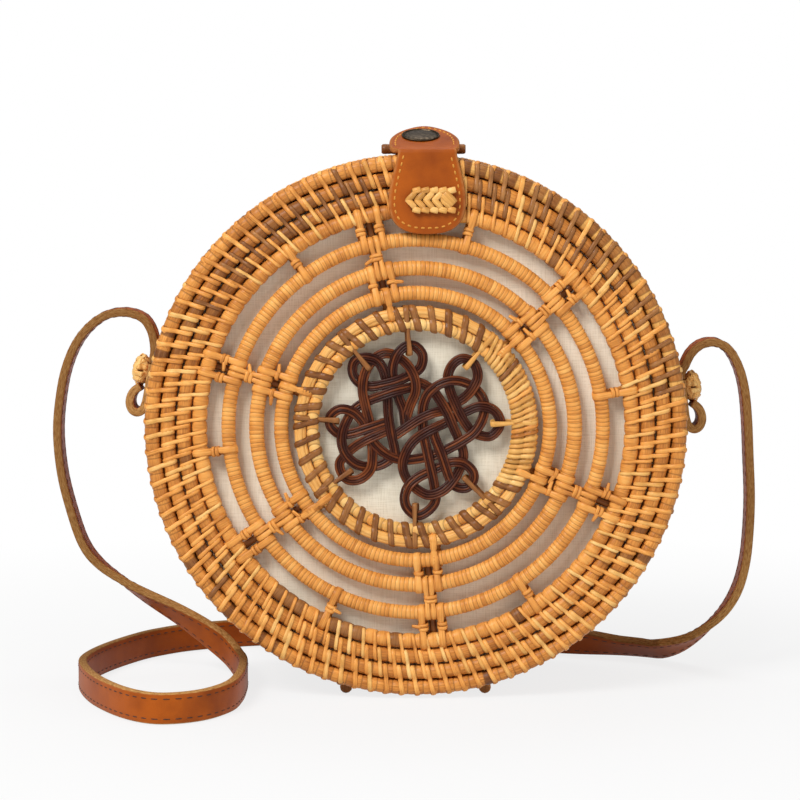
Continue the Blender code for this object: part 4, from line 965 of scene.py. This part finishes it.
def canvas_cup(half, material):
    """A canvas lining: a stretched disc and a wall, one closed thin sheet that the frame's box sizes."""
    node = f"{half}_lining"
    low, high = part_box(node)
    facing = -1 if half == "front" else 1
    reach = (high.x - low.x) / 2
    edge, behind = sorted((abs(low.y), abs(high.y)))
    bend = np.radians((30, 60, 90))
    disc = np.linspace(CANVAS_START, reach - CANVAS_CORNER, CANVAS_RINGS)
    radii = np.concatenate([disc, reach - CANVAS_CORNER * (1 - np.sin(bend)), np.full(WALL_RINGS, reach)])
    wall = np.linspace(behind - CANVAS_CORNER * 1.6, edge, WALL_RINGS)
    rounded = behind - CANVAS_CORNER * (1 - np.cos(bend))
    depths = np.concatenate([np.full(CANVAS_RINGS, behind), rounded, wall])
    theta = circle_angles(CANVAS_STEPS)[:, None]
    ripple = np.abs(np.sin(5 * theta + radii * 90) + 0.6 * np.sin(11 * theta - radii * 160))
    ripple *= CANVAS_SAG * np.clip(1 - radii / reach, 0, 0.5)
    grids = []
    for inset in (0, CANVAS_THICKNESS):
        spread = AXIS + radial(theta) * (radii - inset)[:, None]
        spread[..., 1] = facing * (depths - inset - ripple)
        grids.append(spread)
    points = np.concatenate([grids[0], grids[1][:, ::-1]], 1)
    batch = Batch()
    grain = points[..., (0, 2, 1)] * GRAIN_UNIT
    batch.add(points, quads(points, (True, True))[:, ::facing], PLAIN_TINT, grain)
    obj = batch.piece(f"{node}_canvas", material, "canvas", f"{half}_half", node)


# A strap's section as shares of its width and thickness, and which points lie on its raw edge
STRAP_SECTION = np.array((
    (0.5, -0.33), (0.5, -0.1), (0.5, 0.1), (0.5, 0.33), (0.485, 0.45), (0.45, 0.5), (0.2, 0.5), (-0.2, 0.5),
    (-0.45, 0.5), (-0.485, 0.45), (-0.5, 0.33), (-0.5, 0.1), (-0.5, -0.1), (-0.5, -0.33), (-0.485, -0.45),
    (-0.45, -0.5), (-0.2, -0.5), (0.2, -0.5), (0.45, -0.5), (0.485, -0.45),
))
STRAP_RAW = (np.abs(STRAP_SECTION[:, 0]) > 0.48).astype(float)
BAND_END_SHARES = (0.0, 0.9, 1.0)
STITCH_DIP_SHARES = np.array((-1.3, -0.3, -0.15, -0.3, -1.3))
STITCH_SWELL_SHARES = np.array((0.6, 1.0, 1.0, 1.0, 0.6))


def leather_band(batch, line, wides, thicks, tone=1.0, raw=1.0):
    """A band with raw edges along one line of points, closed at both ends."""
    way = -1 if (np.cross(wides, thicks) * run_of(line)).sum() < 0 else 1
    arrays = np.broadcast_arrays(line, wides, thicks)
    line, wides, thicks = (np.pad(array, ((2, 2), (0, 0)), "edge") for array in arrays)
    sizes = np.ones((len(line), 1))
    sizes[:3, 0], sizes[-3:, 0] = BAND_END_SHARES, BAND_END_SHARES[::-1]
    points = line[:, None] + (wides * sizes)[:, None] * STRAP_SECTION[:, :1]
    points += (thicks * sizes)[:, None] * STRAP_SECTION[:, 1:]
    tints = np.ones(points.shape[:-1] + (4,))
    # The tone sets how much painted shade the leather takes
    tints[..., 0] = np.pad(tone, 2, "edge")[:, None] if np.ndim(tone) else tone
    tints[..., 1] = STRAP_RAW * raw
    grain = np.zeros(points.shape)
    grain[..., 0] = lengths_along(line)[:, None] * GRAIN_UNIT
    grain[..., 1] = STRAP_SECTION @ (6, 3.2)
    batch.add(points, quads(points, (False, True))[:, ::way], tints, grain)


def stitches_on(batch, line, wides, thicks, aside, side, length, pitch, size):
    """A row of stitches along a band, aside from its middle and on one of its faces."""
    along = lengths_along(line)
    spare = along[-1] - length
    starts = (spare % pitch) / 2 + pitch * np.arange(int(spare / pitch) + 1)
    places = starts[:, None] + np.linspace(0, 1, 5) * length
    columns = np.hstack([line, wides, thicks]).T
    found = np.stack([np.interp(places, along, column) for column in columns], -1)
    centres, wide, thick = found[..., :3], unit(found[..., 3:6]), unit(found[..., 6:])
    lift = side * (np.linalg.norm(thicks, axis=1).mean() / 2 + size * STITCH_DIP_SHARES)
    lines = centres + wide * aside + thick * lift[:, None]
    half = size * STITCH_SWELL_SHARES[:, None]
    batch.sweep(lines, wide * half, thick * half * side, arc_section(6), tones(len(starts)), caps=True)


# Route of the strap's raw edge in millimetres of the real bag: x, y, z, and 0 facing the front to 1 facing up
STRAP_EDGE = (
    (-100.0, 0, 127.5, 0), (-101.0, 0, 133.7, 0), (-104.0, 0, 138.7, 0), (-108.6, 0, 140.8, 0),
    (-113.2, 0, 141.2, 0), (-118.6, 0, 140.1, 0), (-124.0, 0, 136.6, 0), (-129.1, 0, 130.8, 0),
    (-133.0, 0, 123.0, 0), (-135.8, 0, 112.7, 0), (-137.6, 0, 97.0, 0), (-136.6, 0, 81.5, 0),
    (-133.7, 0, 67.8, 0), (-128.6, 0, 52.2, 0), (-122.5, 2, 43.7, 0.05), (-113.5, 4, 37.3, 0.15),
    (-105.0, 6, 32.6, 0.3), (-92.3, 8, 26.4, 0.5), (-81.4, 8, 20.5, 0.72), (-73.0, 5, 15.0, 0.88),
    (-67.6, -5, 11.4, 1), (-65.2, -18, 11.2, 1), (-64.7, -31, 11.2, 1), (-65.0, -46, 11.2, 1),
    (-67.3, -62, 11.2, 1), (-74.2, -75.4, 11.2, 1), (-83.6, -82.3, 11.2, 1), (-93.5, -82.6, 11.2, 1),
    (-104.7, -72.5, 11.2, 1), (-116.3, -52.7, 11.2, 1), (-123.8, -31.3, 11.2, 1), (-126.0, -14.6, 11.2, 1),
    (-122.2, 5.5, 11.2, 1), (-113.7, 26.6, 11.2, 1), (-104.1, 42.2, 11.2, 1), (-88.0, 56.0, 11.2, 1),
    (-60.0, 66.0, 11.2, 1), (-20.0, 71.0, 11.2, 1), (20.0, 66.0, 11.2, 1), (50.0, 52.0, 11.2, 1),
    (66.0, 42.0, 10.2, 0.72), (80.8, 36.0, 8.0, 0.47), (89.5, 32.5, 7.6, 0.42), (98.0, 27.0, 8.8, 0.4),
    (106.0, 19.0, 12.4, 0.3), (113.0, 12.0, 17.7, 0.2), (120.0, 5.0, 25.4, 0.08), (124.6, 1, 34.0, 0),
    (127.2, 0, 44.3, 0), (128.4, 0, 55.8, 0), (128.8, 0, 70.0, 0), (128.1, 0, 86.0, 0),
    (127.3, 0, 101.0, 0), (126.0, 0, 112.3, 0), (123.6, 0, 120.7, 0), (119.8, 0, 127.1, 0),
    (114.6, 0, 129.8, 0), (109.0, 0, 128.8, 0), (105.2, 0, 125.2, 0), (103.2, 0, 121.0, 0),
)
# Painted shade on the strap: heights over which the parts that hang down grow darker, depths over which the
# far side of its loop on the floor does, and the tones from lit to shaded
STRAP_SHADE_Z = (0.0065, 0.06)
STRAP_SHADE_Y = (-0.07, -0.02)
STRAP_SHADE_TONES = (1.0, 0.25)
# Outwards from the strap's seat on the wall and up from the knob's middle, down, round the bend and back
END_LOOP_ROUTE = np.array((
    (0.0, 3.0), (0.0, -3.0), (0.0, -8.0), (0.2, -12.0), (1.1, -15.0), (3.0, -16.2),
    (5.0, -15.4), (6.2, -13.2), (6.3, -10.8), (5.6, -8.6), (4.5, -7.2), (3.3, -6.2),
)) * REAL_MILLIMETRE


def knob_axes(word):
    """Outwards from the wall, and up along it, at a strap knob."""
    out, side = clock_axes(KNOB_CLOCKS[word])
    return out, side if word == "left" else -side


def strap(material, stitch_material):
    """The free strap with its stitches."""
    table = np.array(STRAP_EDGE, float)
    lean = table[:, 3] * np.pi / 2
    towards = np.stack([0 * lean, np.cos(lean), -np.sin(lean)], -1)
    ends = []
    for word in ("left", "right"):
        out, up = knob_axes(word)
        foot = AXIS - FRONT * STRAP_WIDTH / 2 + out * STRAP_SEAT
        ends.append([foot + up * (END_LOOP_RISE + FIT_GAP), foot + up * (END_LOOP_RISE + KNOB_DIAMETER / 4)])
    middles = table[:, :3] * REAL_MILLIMETRE + towards * STRAP_WIDTH / 2
    rough = np.vstack([ends[0], middles, ends[1][::-1]])
    both = smooth_line(np.hstack([rough, np.pad(towards, ((2, 2), (0, 0)), "edge")]), STRAP_STEP)
    line, towards = both[:, :3], both[:, 3:]
    run = run_of(line)
    wides = unit(towards - run * (towards * run).sum(1, keepdims=True))
    thicks = np.cross(run, wides)
    reach = (np.abs(wides[:, 2]) * STRAP_WIDTH + np.abs(thicks[:, 2]) * STRAP_THICKNESS) / 2
    line[:, 2] = np.maximum(line[:, 2], reach + FIT_GAP)
    wides, thicks = wides * STRAP_WIDTH, thicks * STRAP_THICKNESS
    band, seams = Batch(), Batch()
    # Painted shade: the strap darkens higher up where it hangs, and towards the back where it lies on the
    # floor
    hanging_shade = np.interp(line[:, 2], STRAP_SHADE_Z, STRAP_SHADE_TONES)
    lying_shade = np.interp(line[:, 1], STRAP_SHADE_Y, STRAP_SHADE_TONES)
    leather_band(band, line, wides, thicks, np.where(line[:, 2] < STRAP_SHADE_Z[0], lying_shade, hanging_shade))
    for side in (-1, 1):
        for aside in (-1, 1):
            inset = aside * (STRAP_WIDTH / 2 - STRAP_STITCH_INSET)
            stitches_on(seams, line, wides, thicks, inset, side, *STRAP_STITCH)
    strap = band.piece("strap_band", material, "leather", None, "strap")
    stitches = seams.piece("strap_stitches", stitch_material, "leather", None)
    for obj in (strap, stitches):
        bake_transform(obj)


def end_loops(material):
    for word in ("left", "right"):
        out, up = knob_axes(word)
        route = smooth_line(END_LOOP_ROUTE, END_LOOP_STEP) + (STRAP_SEAT, 0)
        line = AXIS - FRONT * STRAP_WIDTH / 2 + out * route[:, :1] + up * route[:, 1:]
        batch = Batch()
        # A little painted shade on the end loops (tone 0.8)
        leather_band(batch, line, -FRONT * STRAP_WIDTH, np.cross(run_of(line), -FRONT) * STRAP_THICKNESS, 0.8)
        batch.piece(f"strap_end_loop_{word}_band", material, "leather", "back_half", f"strap_end_loop_{word}")


def rod(batch, line, sizes, across, up, sides, tints):
    """A straight cane with its own radius at each point."""
    batch.sweep(line, np.outer(sizes, across), np.outer(sizes, up), arc_section(sides), tints, caps=True)


KNOB_STRIP_SHARES = (-0.72, -0.26, 0.26, 0.72)


def woven_knob(word, material):
    """A ball plaited from straw in two directions round the end of the strap."""
    out, up = knob_axes(word)
    low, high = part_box(f"strap_knob_{word}")
    centre = AXIS - FRONT * (low.y + high.y) / 2
    reach = STRAP_SEAT + STRAP_THICKNESS / 2 + KNOB_DEPTH
    middle = centre + out * reach
    back = -FRONT
    batch = Batch()
    turn = np.linspace(-math.pi, math.pi, 61)
    for family, (way, across) in enumerate(((up, back), (back, up))):
        for i, share in enumerate(KNOB_STRIP_SHARES):
            lift = math.sqrt(1 - share**2) * (1 + 0.1 * np.sin(6 * turn) * (-1) ** (i + family))
            line = middle + across * share * KNOB_RADIUS
            line = line + way * (np.sin(turn) * KNOB_RADIUS * lift)[:, None]
            line = line + out * (np.cos(turn) * KNOB_DEPTH * lift)[:, None]
            normal = unit(line - middle)
            wide = unit(np.cross(normal, run_of(line))) * KNOB_STRIP_WIDTH
            batch.sweep(line, wide, normal * KNOB_STRIP_THICKNESS, SPLIT_CANE, tones(1, 0.6, 1.1, 0, 1))
    heart = np.linspace(-0.97, 0.97, 13)
    body = middle + out * (heart * KNOB_DEPTH * 0.92)[:, None]
    rod(batch, body, np.sqrt(1 - heart**2) * KNOB_RADIUS * 0.9, back, up, 20, KNOB_HEART_TINT)
    stem = centre + out * np.array(((BAG_RADIUS - COIL_DIAMETER,), (reach,)))
    rod(batch, stem, (KNOB_STEM, KNOB_STEM), back, up, 8, KNOB_STEM_TINT)
    batch.piece(f"strap_knob_{word}_weave", material, "rattan_straw", "back_half", f"strap_knob_{word}")


FOOT_WRAPS = 11


def feet(material):
    """Short cane runners, wound like the coils and thick enough to touch them."""
    swell = np.append(np.tile(WRAP_BULGE_SHARES, FOOT_WRAPS), -1.0)
    for half in ("front", "back"):
        for word in ("left", "right"):
            node = f"foot_{half}_{word}"
            low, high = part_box(node)
            x = (low.x + high.x) / 2
            size = (CENTRE_Z - math.sqrt((BAG_RADIUS - COIL_INSET) ** 2 - x**2) - low.z) / 2
            ys = np.linspace(low.y, high.y, len(swell))
            sizes = size + WRAP_BULGE * (0.9 * swell - 1)
            sizes[0] = sizes[-1] = size * 0.6
            line = np.stack([np.full_like(ys, x), ys, np.full_like(ys, low.z + size)], -1)
            tints = np.tile(tones(1, 0.5, 0.8), (len(ys), 1))
            # Painted shade in the grooves between the wraps
            tints[swell < 0, 3] = GROOVE_LIT_SHARE
            batch = Batch()
            rod(batch, line, sizes, ACROSS, UP, 12, tints[None])
            batch.piece(f"{node}_cane", material, "rattan_honey", f"{half}_half", node)


def hinge_lashings(material):
    for word in ("left", "right"):
        node = f"hinge_lashing_{word}"
        low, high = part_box(node)
        middle = (low + high) / 2
        turns = np.linspace(-1, 1, 9) * math.pi / 2
        size = (high.z - low.z) / 2 - LASH_THICKNESS
        reach = (high.y - low.y) / 2 - size - LASH_THICKNESS
        front = np.stack([0 * turns, -reach - size * np.cos(turns), size * np.sin(turns)], -1)
        outline = np.vstack([front, -front]) + (middle.x, 0, middle.z)
        batch = Batch()
        for side in (-1, 1):
            bind(batch, outline + ACROSS * side * LASH_PITCH / 2, ACROSS, LASH_PITCH, tones(1))
        batch.piece(f"{node}_cane", material, "rattan_honey", "back_half", node)


# Shares of the tab's drop and of the flap's length, with shares of their half widths
TAB_SHARES = (
    (0.99, 0.12), (0.985, 0.3), (0.965, 0.48), (0.93, 0.66), (0.88, 0.8), (0.8, 0.92),
    (0.7, 0.985), (0.6, 1.0), (0.45, 0.97), (0.3, 0.9), (0.15, 0.82), (0.05, 0.77),
)
FLAP_SHARES = (
    (0.03, 0.88), (0.08, 0.96), (0.15, 0.99), (0.3, 1.0), (0.45, 0.97), (0.58, 0.9),
    (0.7, 0.79), (0.8, 0.65), (0.88, 0.5), (0.94, 0.35), (0.98, 0.2), (1.0, 0.08),
)


def tapered_band(rows, step, thickness):
    """A band through rows of (x, y, z, half width): its line, half widths, and wide and thick vectors."""
    both = smooth_line(rows, step)
    line, half = both[:, :3], both[:, 3]
    wides = np.outer(2 * half, ACROSS)
    return line, half, wides, np.cross(run_of(line), unit(wides)) * thickness


def closure(material, stitch_material):
    """The tab and flap as one strip of leather that bends at the fold, from the tab's lower end."""
    along = np.array((0.0, math.cos(FLAP_RISE), math.sin(FLAP_RISE)))
    fold = np.array((TAB_SIDE, FOLD_Y, FOLD_Z))
    rows = [(*(fold - (0, 0, share * TAB_DROP)), wide * TAB_HALF_WIDTH) for share, wide in TAB_SHARES]
    rows += [(*(fold + FOLD_SHIFT), FOLD_WIDTH)]
    fold += ACROSS * (FLAP_SIDE - TAB_SIDE)
    rows += [(*(fold + along * share * FLAP_LENGTH), wide * FLAP_HALF_WIDTH) for share, wide in FLAP_SHARES]
    line, half, wides, thicks = tapered_band(rows, CLOSURE_STEP, -TAB_THICKNESS)
    batch = Batch()
    leather_band(batch, line, wides, thicks, 1.0, 0.3)
    obj = batch.piece("closure_leather", material, "leather", None, "closure_tab_front", "closure_flap")
    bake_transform(obj)
    edge_stitches(line, half, thicks, stitch_material)


def edge_stitches(line, half, thicks, material):
    """Pale stitches a little inside the edge of the tab's round end and of the flap's."""
    left, right = (line + np.outer(side * half, ACROSS) for side in (-1, 1))
    normals = unit(thicks)
    fold = int(np.argmax(line[:, 2] > FOLD_Z))
    tab, flap = slice(0, fold - 1), slice(fold + 3, None)
    for name, body, part, way in (("tab", "front_half", tab, -1), ("flap", "closure_flap", flap, 1)):
        loop = np.vstack([left[part][::way], right[part][::-way]])
        outs = np.vstack([normals[part][::way], normals[part][::-way]])
        inward = -outward(loop, unit(np.cross(outs, run_of(loop))))
        seam = smooth_line((loop + inward * SEAM_INSET)[::3], SEAM_STEP)
        outs = outs[np.arange(len(seam)) * len(outs) // len(seam)]
        across = unit(np.cross(outs, run_of(seam)))
        batch = Batch()
        stitches_on(batch, seam, across, outs * TAB_THICKNESS, 0.0, 1, *EDGE_STITCH)
        batch.piece(f"closure_{name}_stitches", material, "rattan_straw", body)


# Places along a facet of straw as shares of its length, with shares of its width
FACET_SHARES = np.array((-0.5, -0.42, -0.2, 0.0, 0.2, 0.42, 0.5))[:, None]
FACET_WIDTH_SHARES = np.array((0.86, 0.95, 1, 1, 1, 0.95, 0.86))[:, None]


def facet(batch, place, slope, length, wide, rise):
    """One fold of straw, arched along its length."""
    along = unit(np.array((1.0, 0.0, slope)))
    arch = (0.3 - 3.4 * FACET_SHARES**2) * BRAID_BULGE + rise
    line = place + along * FACET_SHARES * length + FRONT * arch
    wides = np.cross(FRONT, along) * wide * FACET_WIDTH_SHARES
    batch.sweep(line, wides, FRONT * BRAID_BULGE, SPLIT_CANE, tones(1, 0.2, 0.9, 0, 1), caps=True)


def braid(material):
    """Folded straw lengths plaited into chevrons that point left, with a square end laid over them."""
    low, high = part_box("closure_braid")
    half = BRAID_GROWTH * (high.z - low.z) / 2
    heart = np.array((low.x, low.y, (low.z + high.z) / 2))
    reach = high.x - low.x
    pitch = (reach - half) / (BRAID_CHEVRONS - 0.85)
    width = 1.02 * pitch / math.sqrt(2)
    batch = Batch()
    for i in range(BRAID_CHEVRONS):
        for side in (-1, 1):
            inner = heart + (i * pitch + 0.3 * half, 0, side * 0.24 * half)
            facet(batch, inner, side, 0.92 * half, width, 0.2 * BRAID_BULGE)
            outer = heart + (i * pitch + 0.72 * half, 0, side * 0.73 * half)
            facet(batch, outer, 0.25 * side, 0.96 * pitch, 0.5 * half, 0)
    end = heart + (reach - 0.62 * half, 0, 0.08 * half)
    facet(batch, end, -1, 1.15 * half, 0.9 * half, 0.5 * BRAID_BULGE)
    base = heart + np.array(((0.3 * half, BRAID_DEPTH, 0), (reach - 0.7 * half, BRAID_DEPTH, 0)))
    batch.sweep(base, UP * half * 0.75, FRONT * BRAID_BULGE, arc_section(8), BRAID_BASE_TINT, caps=True)
    batch.piece("closure_braid_plait", material, "rattan_straw", "front_half", "closure_braid")


# Outlines of the snap: the cap's rim as shares of its radius and heights, and the rest in millimetres
CAP_RIM = ((0.96, 0.0), (1.0, 0.2), (1.0, 0.5), (0.965, 0.8), (0.93, 0.5))
CAP_DOME_TURNS = np.radians((88, 78, 64, 50, 36, 22, 8))
SOCKET = (
    (0.01, -0.35), (2.3, -0.35), (2.3, -0.95), (2.7, -1.15),
    (3.6, -1.05), (4.0, -0.8), (4.0, -0.1), (0.01, 0.0),
)
STUD = (
    (0.01, -1.2), (2.5, -1.2), (2.5, 0.3), (2.2, 0.35), (1.5, 0.4), (1.8, 0.525), (1.6, 0.95), (0.01, 1.05),
)


def turned_piece(name, profile, place, material, body, node, steps=40):
    """Revolves (radius, height) points round the Z axis of a placing matrix."""
    radii, heights = np.array(profile).T
    turn = circle_angles(steps)[:, None]
    points = np.stack([np.cos(turn) * radii, np.sin(turn) * radii, 0 * turn + heights], -1)
    matrix = np.array(place)
    points = points @ matrix[:3, :3].T + matrix[:3, 3]
    batch = Batch()
    batch.add(points, quads(points, (True, False))[:, ::-1], PLAIN_TINT, points * GRAIN_UNIT)
    batch.piece(name, material, "bronze", body, node)


def snap(material):
    low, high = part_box("snap_cap")
    along = np.array((0.0, math.cos(FLAP_RISE), math.sin(FLAP_RISE)))
    reach = (SNAP_SETBACK - HALF_DEPTH - FOLD_Y) / math.cos(FLAP_RISE)
    centre = np.array(((low.x + high.x) / 2, FOLD_Y, FOLD_Z)) + along * reach
    place = Matrix.Translation(Vector(centre)) @ Matrix.Rotation(FLAP_RISE, 4, "X")
    under, top = -TAB_THICKNESS / 2, TAB_THICKNESS / 2 + CAP_SEAT
    cap = (high.x - low.x) / 2
    profile = [(RIVET_RADIUS, under), (RIVET_RADIUS, top)]
    profile += [(cap * share, top + height * REAL_MILLIMETRE) for share, height in CAP_RIM]
    for turn in CAP_DOME_TURNS:
        profile += [(CAP_DOME_SHARE * cap * math.sin(turn), top + CAP_DOME * math.cos(turn))]
    profile += [(POLE_RADIUS, top + CAP_DOME)]
    turned_piece("snap_cap_dome", profile, place, material, "closure_flap", "snap_cap")
    socket = np.array(SOCKET) * REAL_MILLIMETRE + (0, under - FIT_GAP / 2)
    turned_piece("snap_socket_ring", socket, place, material, "closure_flap", "snap_socket")
    stud = np.array(STUD) * REAL_MILLIMETRE + (0, STUD_SEAT)
    turned_piece("snap_stud_post", stud, place, material, "back_half", "snap_stud", 28)


# The back tab's line in millimetres: up from its lower end, and over the rim from the bar to its crest
BACK_TAB_RISES = (0.0, 3.0, 8.0)
BACK_TAB_RIM_DROP = 0.012
BACK_TAB_LANDING_Y = 0.003
BAR_APPROACH_Y = 0.0075
BAR_APPROACH_RISE = 0.0004
BAR_SIDE_Y = 0.0045
BACK_TAB_END_SHARES = (0.3, 0.55, 0.8, 0.93, 0.98)
BACK_TAB_WIDTH_SHARES = (
    0.55, 0.74, 0.8, 0.86, 0.93, 0.95, 0.96, 0.97, 1, 1, 1, 1, 1, 1, 1, 1, 0.86, 0.62, 0.4,
)


def back_tab(material, stitch_material):
    """The leather tab from the back face over the rim and the clasp bar, on the same line as the frame's."""
    low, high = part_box("closure_tab_back")
    bar_low, bar_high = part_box("clasp_bar")
    half = BACK_TAB_THICKNESS / 2
    rim = CENTRE_Z + BAG_RADIUS
    behind, over = high.y - half, rim + FIT_GAP + half
    bar_y, bar_z = (bar_low.y + bar_high.y) / 2, (bar_low.z + bar_high.z) / 2
    cover = (bar_high.z - bar_low.z) / 2 + FIT_GAP + half
    crest = np.array((bar_y - math.sin(FLAP_RISE) * cover, bar_z + math.cos(FLAP_RISE) * cover))
    along = np.array((math.cos(FLAP_RISE), math.sin(FLAP_RISE)))
    bend = COIL_RADIUS
    path = [(behind, low.z + rise * REAL_MILLIMETRE) for rise in BACK_TAB_RISES]
    path += [(behind, rim - BACK_TAB_RIM_DROP), (behind, rim - bend)]
    for turn in np.radians((30, 60, 90)):
        path += [(behind - bend * (1 - math.cos(turn)), rim - bend + (over - rim + bend) * math.sin(turn))]
    path += [(high.y * 0.5, over), (BACK_TAB_LANDING_Y, over)]
    path += [(bar_y + BAR_APPROACH_Y, over + BAR_APPROACH_RISE), (bar_y + BAR_SIDE_Y, bar_z + 0.72 * cover)]
    path += [(bar_y + 0.3 * cover, bar_z + 0.97 * cover), crest]
    down = (crest[1] - over) / math.sin(FLAP_RISE)
    path += [crest - along * share * down for share in BACK_TAB_END_SHARES]
    pairs = zip(path, BACK_TAB_WIDTH_SHARES)
    rows = [(FLAP_SIDE, *place, BACK_TAB_HALF_WIDTH * share) for place, share in pairs]
    line, wide, wides, thicks = tapered_band(rows, BACK_TAB_STEP, BACK_TAB_THICKNESS)
    batch = Batch()
    # A little painted shade on the back tab (tone 0.9)
    leather_band(batch, line, wides, thicks, 0.9)
    batch.piece("closure_tab_back_leather", material, "leather", "back_half", "closure_tab_back")
    seams = Batch()
    outs = thicks if thicks[0][1] > 0 else -thicks
    rear = slice(3, int(np.argmax(line[:, 2] > rim - bend)))
    for side in (-1, 1):
        shifted = line[rear] + np.outer(side * (wide[rear] - BACK_TAB_SEAM), ACROSS)
        stitches_on(seams, shifted, wides[rear], outs[rear], 0.0, 1, *BACK_TAB_STITCH)
    seams.piece("closure_tab_back_stitches", stitch_material, "rattan_straw", "back_half")


def clasp_bar(material):
    low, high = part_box("clasp_bar")
    middle = (low + high) / 2
    xs = np.linspace(low.x, high.x, BAR_POINTS)
    sizes = 0.94 + 0.03 * np.cos(xs * 2300) + 0.03 * np.sin(xs * 3700)
    sizes[0] = sizes[-1] = 0.72
    sizes[1] = sizes[-2] = 0.93
    sizes *= (high.z - low.z) / 2
    line = np.outer(xs, ACROSS) + (0, middle.y, middle.z)
    batch = Batch()
    rod(batch, line, sizes, -FRONT, UP, 16, tones(1, 0.5, 0.6, 1))
    batch.piece("clasp_bar_cane", material, "rattan_dark", "back_half", "clasp_bar")


CAMERA_LENS = 110.9
CAMERA_PLACE = (0, -0.94, 0.191)
CAMERA_TURN = tuple(math.radians(angle) for angle in (90 - 5.06, 0, 0.364))
FLOOR_SIZE = 6.0
# Distances from the middle of the floor between which it turns into plain white
FLOOR_FADE = (0.12, 0.4)
WORLD_STRENGTH = 0.32
# Name, place, sizes and power of each lamp
LAMPS = (
    ("key", (-0.7, -1.1, 1.3), (0.7, 0.7), 26),
    ("fill", (1.2, -0.9, 0.5), (1.0, 0.8), 4),
    ("top", (0.1, 0.5, 1.4), (1.0, 0.6), 5),
)


def camera():
    data = bpy.data.cameras.new("camera")
    data.lens = CAMERA_LENS
    obj = new_object("camera", data)
    obj.location = CAMERA_PLACE
    obj.rotation_euler = CAMERA_TURN
    bpy.context.scene.camera = obj


def floor():
    """A white floor that turns into plain white away from the bag and keeps a faint shadow."""
    mesh = bpy.data.meshes.new("floor")
    half = FLOOR_SIZE / 2
    corners = [(-half, -half, 0), (half, -half, 0), (half, half, 0), (-half, half, 0)]
    mesh.from_pydata(corners, [], [(0, 1, 2, 3)])
    new_object("floor", mesh)
    s = surface("floor_white", 0.9, Base_Color=FLOOR_GREY)
    seen = s.node("ShaderNodeLightPath").outputs
    mirrored = s.maths("ADD", seen["Is Glossy Ray"], seen["Is Transmission Ray"])
    straight = s.maths("ADD", seen["Is Camera Ray"], mirrored, True)
    distance = s.node("ShaderNodeVectorMath", {0: s.place()}, operation="LENGTH").outputs["Value"]
    share = s.maths("MULTIPLY", straight, s.between(distance, *FLOOR_FADE, 0.8, 1.0))
    white = s.node("ShaderNodeEmission", {"Color": WHITE, "Strength": 1.0}).outputs[0]
    mixed = s.mix_shaders(share, s.main.outputs[0], white)
    s.put("Surface", mixed, s.tree.nodes["Material Output"])
    mesh.materials.append(s.material)


def lighting():
    for name, place, (wide, high), power in LAMPS:
        data = bpy.data.lights.new(name, "AREA")
        data.shape = "RECTANGLE"
        data.size, data.size_y = wide, high
        data.energy = power
        obj = new_object(name, data)
        obj.location = place
        obj.rotation_euler = (Vector(AXIS) - Vector(place)).to_track_quat("-Z", "Y").to_euler()
    world = bpy.data.worlds.new("studio")
    bpy.context.scene.world = world
    world.use_nodes = True
    s = Shader(world.node_tree, "Background")
    s.put("Color", WHITE)
    s.put("Strength", WORLD_STRENGTH)
    white = s.node("ShaderNodeBackground", {"Color": WHITE, "Strength": 1.0}).outputs[0]
    seen = s.node("ShaderNodeLightPath").outputs
    straight = s.maths("MAXIMUM", seen["Is Camera Ray"], seen["Is Transmission Ray"])
    mixed = s.mix_shaders(straight, s.main.outputs[0], white)
    s.put("Surface", mixed, s.tree.nodes["World Output"])


def build():
    honey = cane("honey_cane")
    straw = cane("straw_cane", roughness=0.38)
    knot_cane = cane("knot_cane", KNOT_BROWN, KNOT_BROWN, 0.36, KNOT_RELIEF, 0.0, 0.22, 0.2)
    orange = leather("orange_leather")
    dark_thread = thread("dark_thread", DARK_THREAD)
    pale_thread = thread("pale_thread", PALE_THREAD)
    bronze = metal()
    shells(honey)
    rings(honey)
    openwork_ties(honey)
    hoop(straw)
    knot(knot_cane)
    knot_ties(straw)
    cloth = canvas()
    for half in ("front", "back"):
        canvas_cup(half, cloth)
    strap(orange, dark_thread)
    end_loops(orange)
    for word in ("left", "right"):
        woven_knob(word, straw)
    feet(honey)
    hinge_lashings(honey)
    closure(orange, pale_thread)
    braid(straw)
    snap(bronze)
    back_tab(orange, pale_thread)
    clasp_bar(straw)
    camera()
    floor()
    lighting()
    bpy.context.scene.view_settings.view_transform = "Standard"


build()
